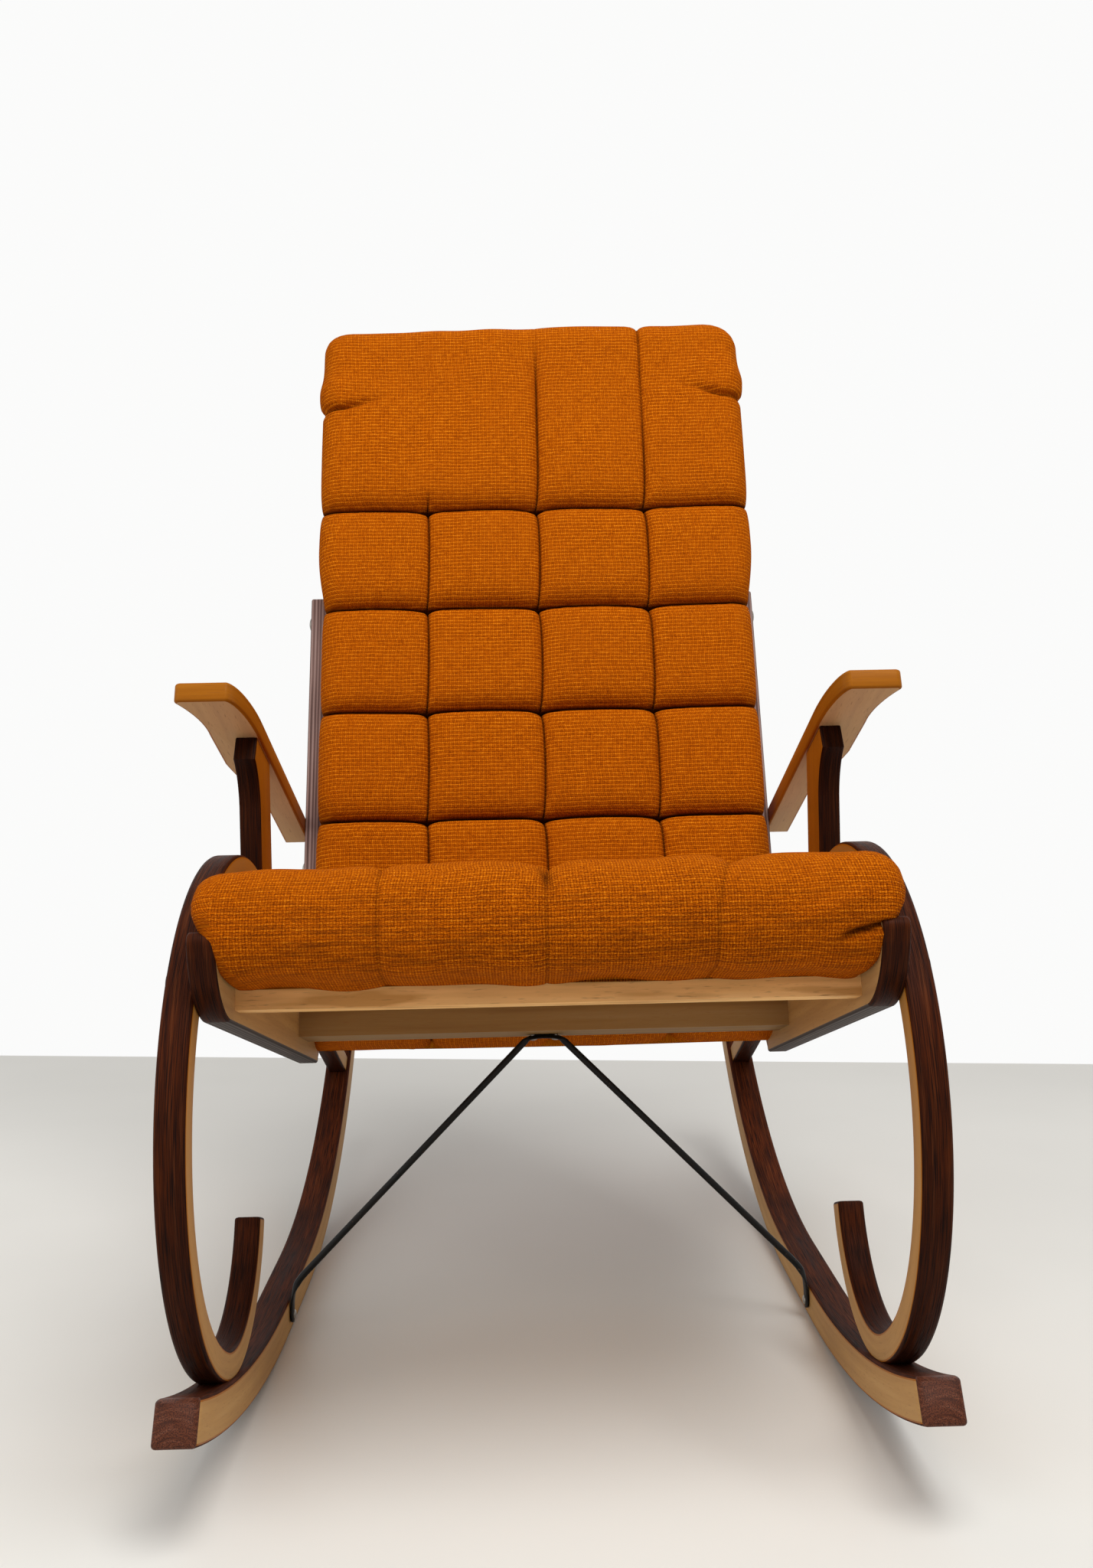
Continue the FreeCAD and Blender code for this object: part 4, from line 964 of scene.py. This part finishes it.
roll_half = np.interp(seat_n, [seat_drop, 34, 70, 82], [229.0, 235.0, 251.0, 253.5])
roll_half = roll_half - 8.0 * smooth(-45, 20, seat_s) * (seat_n > 70)
seat_half = np.where(at_rear, seat_half_width, roll_half)
seat_core_half = np.where(on_top > 0.5, seat_half - 4.0, 230.0)
seat_edge = np.interp(seat_n, [seat_drop, 66, 86], [9.0, 12.0, 20.0])
seat_lumps, seat_creases = Waves(60, 190), Waves(8, 26, 16)


def seat_relief(r, x):
    """Tufts on the top; on the roll the seams between columns run on as thin lines, the middle one with a
    short fold and the right one leaning; the roll droops at its left and bulges over a slit at its right. The
    slit and the fold get painted shade."""
    roll = smooth(-10, -60, r)
    lean = tuft_pitch + 14.0 * smooth(60, 0, r) - 18.0 * smooth(0, -110, r)
    columns = [(place, 1 - 0.4 * roll, bowed * (1 - roll)) for place, bowed in (
        (-tuft_pitch + 2.0 * roll, 3.0), (-2.0 * roll, 4.0), (lean, 3.0))]
    rise, move_r, move_x, shade = tufting(r, x, seat_row_seams, columns, (12.0, 9.0), seat_creases)
    n = np.interp(r, seat_rows_at, seat_n)
    front = r < 0
    slit = front * smooth(196, 214, x) * line(n - 50 - 0.25 * (x - 230), 2.6)
    ridge = front * line(n - 64 - 0.35 * (x - 205), 7) * line(x - 200, 26)
    fold = line(x + 2 + 0.12 * (r + 55), 4.0) * line(r + 55, 17)
    droop = 5.0 * smooth(-60, -240, x) * line(r + 15, 60)
    bulge = smooth(185, 235, x) * line(r + 45, 30)
    rise = rise * (1 - 0.65 * roll) + 1.5 * seat_lumps.at(r, x)
    rise = rise - 7.0 * slit + 3.0 * ridge - 4.0 * fold - droop + 2.5 * bulge
    # Painted shade in the slit and the fold.
    shade = np.clip(shade * (1 - 0.45 * roll) + 0.9 * slit + 0.55 * fold, 0, 1)
    return rise, move_r * (1 - roll), move_x * (1 - roll) + 2.0 * bulge, shade


seat_pad = upholstered("seat_tufting", seat_cloth, seat_at(seat_s, seat_n), seat_at(core_s, core_n),
                       seat_half, seat_core_half, np.zeros(len(seat_s)), seat_edge, seat_relief,
                       seat_rows_at)
own(seat_pad, "tweed", "seat_cushion")


# Cloth over the rear of the back, drawn tight over the frame and turned in at its edges
def rear_cloth():
    """Sheet whose rows follow the rear of the frame upwards; across, it lies flat, turns a small corner at
    each side and, above the stiles, runs forward along the frame. It sags a little between the rails.
    Also gives its flat size and its area."""
    rows, columns = 150, 120
    half, turn_in, corner, hem_x = 235.0, 32.0, 4.0, 228.0
    t = np.linspace(back_foot - 2, back_length + 2, rows)[:, None]
    span = half - 3.0 * (t < stile_length + 3)
    reach = span + corner + turn_in * smooth(stile_length + 1, stile_length + 5, t)
    run = np.linspace(-1, 1, columns) * reach
    beyond = np.abs(run) - (span - corner)
    quarter = corner * math.pi / 2
    angle = np.clip(beyond, 0, quarter) / corner
    ahead = corner * (1 - np.cos(angle)) + np.clip(beyond - quarter, 0, None)
    x = np.sign(run) * (np.minimum(np.abs(run), span - corner) + corner * np.sin(angle))
    sag = 1.6 * (line(t - 262, 110) + line(t - 660, 90)) * np.clip(1 - (x / 215) ** 4, 0, 1)
    crease = Waves(30, 120, 12)
    ragged = 1.3 * Waves(14, 60, 10).at(0 * x, x) * smooth(back_foot + 30, back_foot, t)
    ripple = 0.5 * crease.at(t, x) * np.exp((np.clip(np.abs(x), 0, hem_x) - hem_x) / 40)
    m = back_rear - cover_thick - 1.0 + ahead + sag - ripple * (angle < 0.1)
    # Painted shade: a thin dark line beside each stile, where the cloth starts to turn its corner.
    painted_turn_shade = fading(np.abs(x) - hem_x, 1.2) * 0.5 * (t < stile_length)
    surface = Surface()
    surface.grid(with_x(back_at(t + ragged, m), x), paired(run, t), seam=painted_turn_shade)
    piece = surface.piece("rear_cloth", [cloth], looks=(0, 1, 0))
    length = (t[-1, 0] - t[0, 0]) * MM
    return piece, (2 * (half + corner + turn_in) * MM, length), np.mean(2 * reach) * MM * length


cover, cover_flat, cover_area = rear_cloth()
own(cover, "tweed", "back_cover")


# Brace: one bent rod, flattened at its feet and under the rear rail
def softened(path, reach):
    """The path with its bends rounded: three times the mean of this odd number of neighbouring points."""
    for _ in range(3):
        padded = np.pad(path, ((reach // 2, reach // 2), (0, 0)), "edge")
        path = np.stack([np.convolve(padded[:, k], np.ones(reach) / reach, "valid") for k in range(3)], -1)
    return path


def bent_rod():
    """Oval section carried along the brace's line: half sizes go from round to flat where it is beaten."""
    sides = 20
    foot_x = runner_inner - 1.75
    saddle = seat_at(brace_saddle_s, brace_saddle_n - 1.8)
    corners = [np.array([foot_x, brace_foot_y, 4.5]), np.array([foot_x - 1.2, brace_foot_y, 44.0]),
               np.array([brace_half - 3, *(saddle - seat_up * 0.8)]), np.array([0, *saddle])]
    corners += [p * [-1, 1, 1] for p in corners[-2::-1]]
    path = np.concatenate([straight(a, b, 1.2) for a, b in zip(corners, corners[1:])] + [corners[-1][None]])
    tight, easy = softened(path, 7), softened(path, 15)
    path = tight + (easy - tight) * smooth(60, 110, np.abs(path[:, :1]))
    run = run_length(path)[:, None]
    end = np.minimum(run, run[-1] - run)
    flat = np.clip(smooth(38, 27, end) + smooth(20, 14, np.abs(path[:, :1])), 0, 1)
    tip = np.sqrt(np.clip(1 - (1 - np.clip(end / 7.5, 0, 1)) ** 2, 0.02, 1))
    wide, thin = (rod_radius + 4.2 * flat) * tip, rod_radius - 1.5 * flat
    way = unit(np.gradient(path, axis=0))
    aside = unit(np.array([0, 1.0, 0]) - way * way[:, 1:2])
    other = np.cross(way, aside)
    turn = np.linspace(0, math.tau, sides, endpoint=False)
    points = path[:, None] + (wide * np.cos(turn))[..., None] * aside[:, None]
    points = points + (thin * np.sin(turn))[..., None] * other[:, None]
    surface = Surface()
    surface.tube(points, paired(run, np.arange(sides + 1.0)))
    return surface.piece("brace_rod", [enamel], 1, 60)


own(bent_rod(), "black_steel", "v_brace")


# Bolt and screw heads that show
def heads(name, seats, radius, height, finish, sides=24):
    """Round heads with a short shank in the wood, from room points and directions: a profile of (height,
    radius) turned about its direction. The crown's height follows a sine and its radius a cosine."""
    turn = np.radians(np.linspace(0, 84, 6))
    crown = np.stack([height * (0.25 + 0.75 * np.sin(turn)), radius * np.cos(turn)], -1)
    profile = np.vstack([[(-3, radius * 0.4), (-0.1, radius * 0.42), (0, radius * 0.96)], crown])
    around = circle(np.linspace(0, math.tau, sides, endpoint=False))
    surface = Surface()
    for seat, way in seats:
        way = np.array(way, float)
        aside = unit(np.cross(way, [0.31, 0.87, 0.38]))
        ring = around @ np.stack([aside, np.cross(way, aside)])
        points = np.array(seat) + profile[:, :1, None] * way + profile[:, 1:, None] * ring
        surface.tube(points, paired(np.arange(sides + 1.0), run_length(profile)[:, None]))
    return surface.piece(name, [finish], 1, 35)


def outwards(places, x):
    """Seats at both sides, x from the middle, that face away from it."""
    return [((side * x, *place), (side, 0, 0)) for place in places for side in (1, -1)]


limb_middle = limb_start - limb_up * (hoop_thick / 2)
bend_seat = top_centre + heading(140) * (top_radius - hoop_thick / 2)
stile_seat = crossing(back_at(0.0, -stile_depth / 2), back_up, limb_middle, limb_way)
stile_holes = [back_at(t, -18.0) for t in (210.0, stile_length - 24.0)]
under_saddle = seat_at(brace_saddle_s, brace_saddle_n - 3.6)
foot_seats = [((side * (runner_inner - 3.4), brace_foot_y, brace_foot_z), (-side, 0, 0)) for side in (1, -1)]
saddle_seats = [((x, *under_saddle), (0, *-seat_up)) for x in (11.0, -11.0)]
for name, node, seats, radius, height, finish in (
        ("rail_bolt_heads", "rail_bolts", outwards([bend_seat], hoop_outer), 8.0, 1.6, dark_steel),
        ("stile_bolt_heads", "stile_bolts", outwards([stile_seat], hoop_outer), 8.0, 1.6, dark_steel),
        ("back_bolt_heads", "back_bolts", outwards(stile_holes, side_plane), 8.0, 4.0, steel),
        ("brace_screw_heads", "brace_screws", foot_seats + saddle_seats, 4.2, 2.4, steel)):
    own(heads(name, seats, radius, height, finish), "bolt_steel", node)

# Finishes of the CAD pieces that stay
up_the_back = (math.radians(stile_lean - 90), 0, math.radians(-90))
for finish, nodes in (
        (bare_wood("front_rail_beech", (0, 0, 0), 1.60, 0.7), ["seat_front_rail"]),
        # A darker copy of the beech: painted shade for the rail under the seat, which the back's rails share.
        (bare_wood("cross_rail_beech_painted_shade", (0, 0, 0), 0.55),
         ["seat_rear_rail", "back_lower_rail", "back_middle_rail", "back_top_rail"]),
        (bare_wood("seat_board_beech", (0, 0, 0), 1.35), ["seat_board"]),
        (bare_wood("upright_beech", up_the_back, 0.95),
         ["back_upright_left", "back_upright_right", "back_board"]),
        (dull_steel("hidden_screw_steel"), ["arm_screws", "lap_screws", "hoop_screws"])):
    for node in nodes:
        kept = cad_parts[node].data
        kept.materials.clear()
        kept.materials.append(finish)

# Floor, light and camera
floor_size, floor_level = 1130.0, -0.2
floor_slant = 0.16           # its far edge isn't quite square to the chair
lamp_colour = (1.0, 0.985, 0.96)


def pale_floor():
    """Square of pale floor, plain but for a faint cloudiness; its far half is sheared by the slant."""
    finish = Finish("pale_floor", Roughness=0.75)
    cloud = finish.noise(finish.place((0, 0, 0)), 1.4, 3.0)
    finish.set(Base_Color=finish.ramp(cloud, [(0.3, (0.80, 0.795, 0.765)), (0.7, (0.86, 0.855, 0.825))]))
    edge = np.linspace(-floor_size, floor_size, 24)
    x, y = np.meshgrid(edge, edge)
    y = y - floor_slant * x * smooth(0, floor_size, y)
    surface = Surface()
    surface.grid(np.stack([x, y, np.full(x.shape, floor_level)], -1), np.stack([x, y], -1))
    return surface.piece("floor", [finish.material], looks=(0, 0, 1))


pale_floor()
scene = bpy.context.scene
scene.view_settings.view_transform = "Standard"
scene.world = bpy.data.worlds.new("studio")
studio = Nodes(scene.world)
sky = studio.node("ShaderNodeBackground", {"Color": (*lamp_colour, 1), "Strength": 0.44})
white = studio.node("ShaderNodeBackground", {"Color": (0.965, 0.965, 0.96, 1), "Strength": 1.0})
camera_ray, glossy_ray, clear_ray = (studio.node("ShaderNodeLightPath", out=ray) for ray in (
    "Is Camera Ray", "Is Glossy Ray", "Is Transmission Ray"))
seen = camera_ray.math("MAXIMUM", glossy_ray).math("MAXIMUM", clear_ray)
room = studio.node("ShaderNodeMixShader", {0: seen, 1: sky, 2: white})
studio.node("ShaderNodeOutputWorld", {"Surface": room})


def soft_lamp(name, place, target, size, watts):
    """Large square area lamp that faces its target."""
    lamp = bpy.data.lights.new(name, "AREA")
    lamp.size = size
    lamp.energy = watts
    lamp.color = lamp_colour
    made = bpy.data.objects.new(name, lamp)
    made.location = place
    made.rotation_euler = (Vector(target) - Vector(place)).to_track_quat("-Z", "Y").to_euler()
    scene.collection.objects.link(made)


soft_lamp("key_lamp", (0.5, -1.3, 3.0), (0, 0, 0.5), 1.8, 62)
soft_lamp("fill_lamp", (-1.9, -1.7, 1.5), (0, 0, 0.5), 2.0, 16)

camera_place = Vector((-0.0195, -1.4631, 0.5320))
yaw, pitch, roll = (math.radians(angle) for angle in (1.11, -0.649, 1.197))
focal_px, frame_height_px, sensor = 1859.6, 2048.0, 36.0
right = Vector((math.cos(yaw), -math.sin(yaw), 0))
ahead = Vector((math.sin(yaw), math.cos(yaw), 0))
forward = ahead * math.cos(pitch) + Vector((0, 0, 1)) * math.sin(pitch)
upward = ahead * -math.sin(pitch) + Vector((0, 0, 1)) * math.cos(pitch)
camera_x = right * math.cos(roll) - upward * math.sin(roll)
camera_y = right * math.sin(roll) + upward * math.cos(roll)
lens = bpy.data.cameras.new("photo_view")
lens.sensor_fit = "VERTICAL"
lens.sensor_height = sensor
lens.lens = focal_px / frame_height_px * sensor
camera = bpy.data.objects.new("photo_view", lens)
turned = Matrix((camera_x, camera_y, -forward)).transposed().to_4x4()
camera.matrix_world = Matrix.Translation(camera_place) @ turned
scene.collection.objects.link(camera)
scene.camera = camera
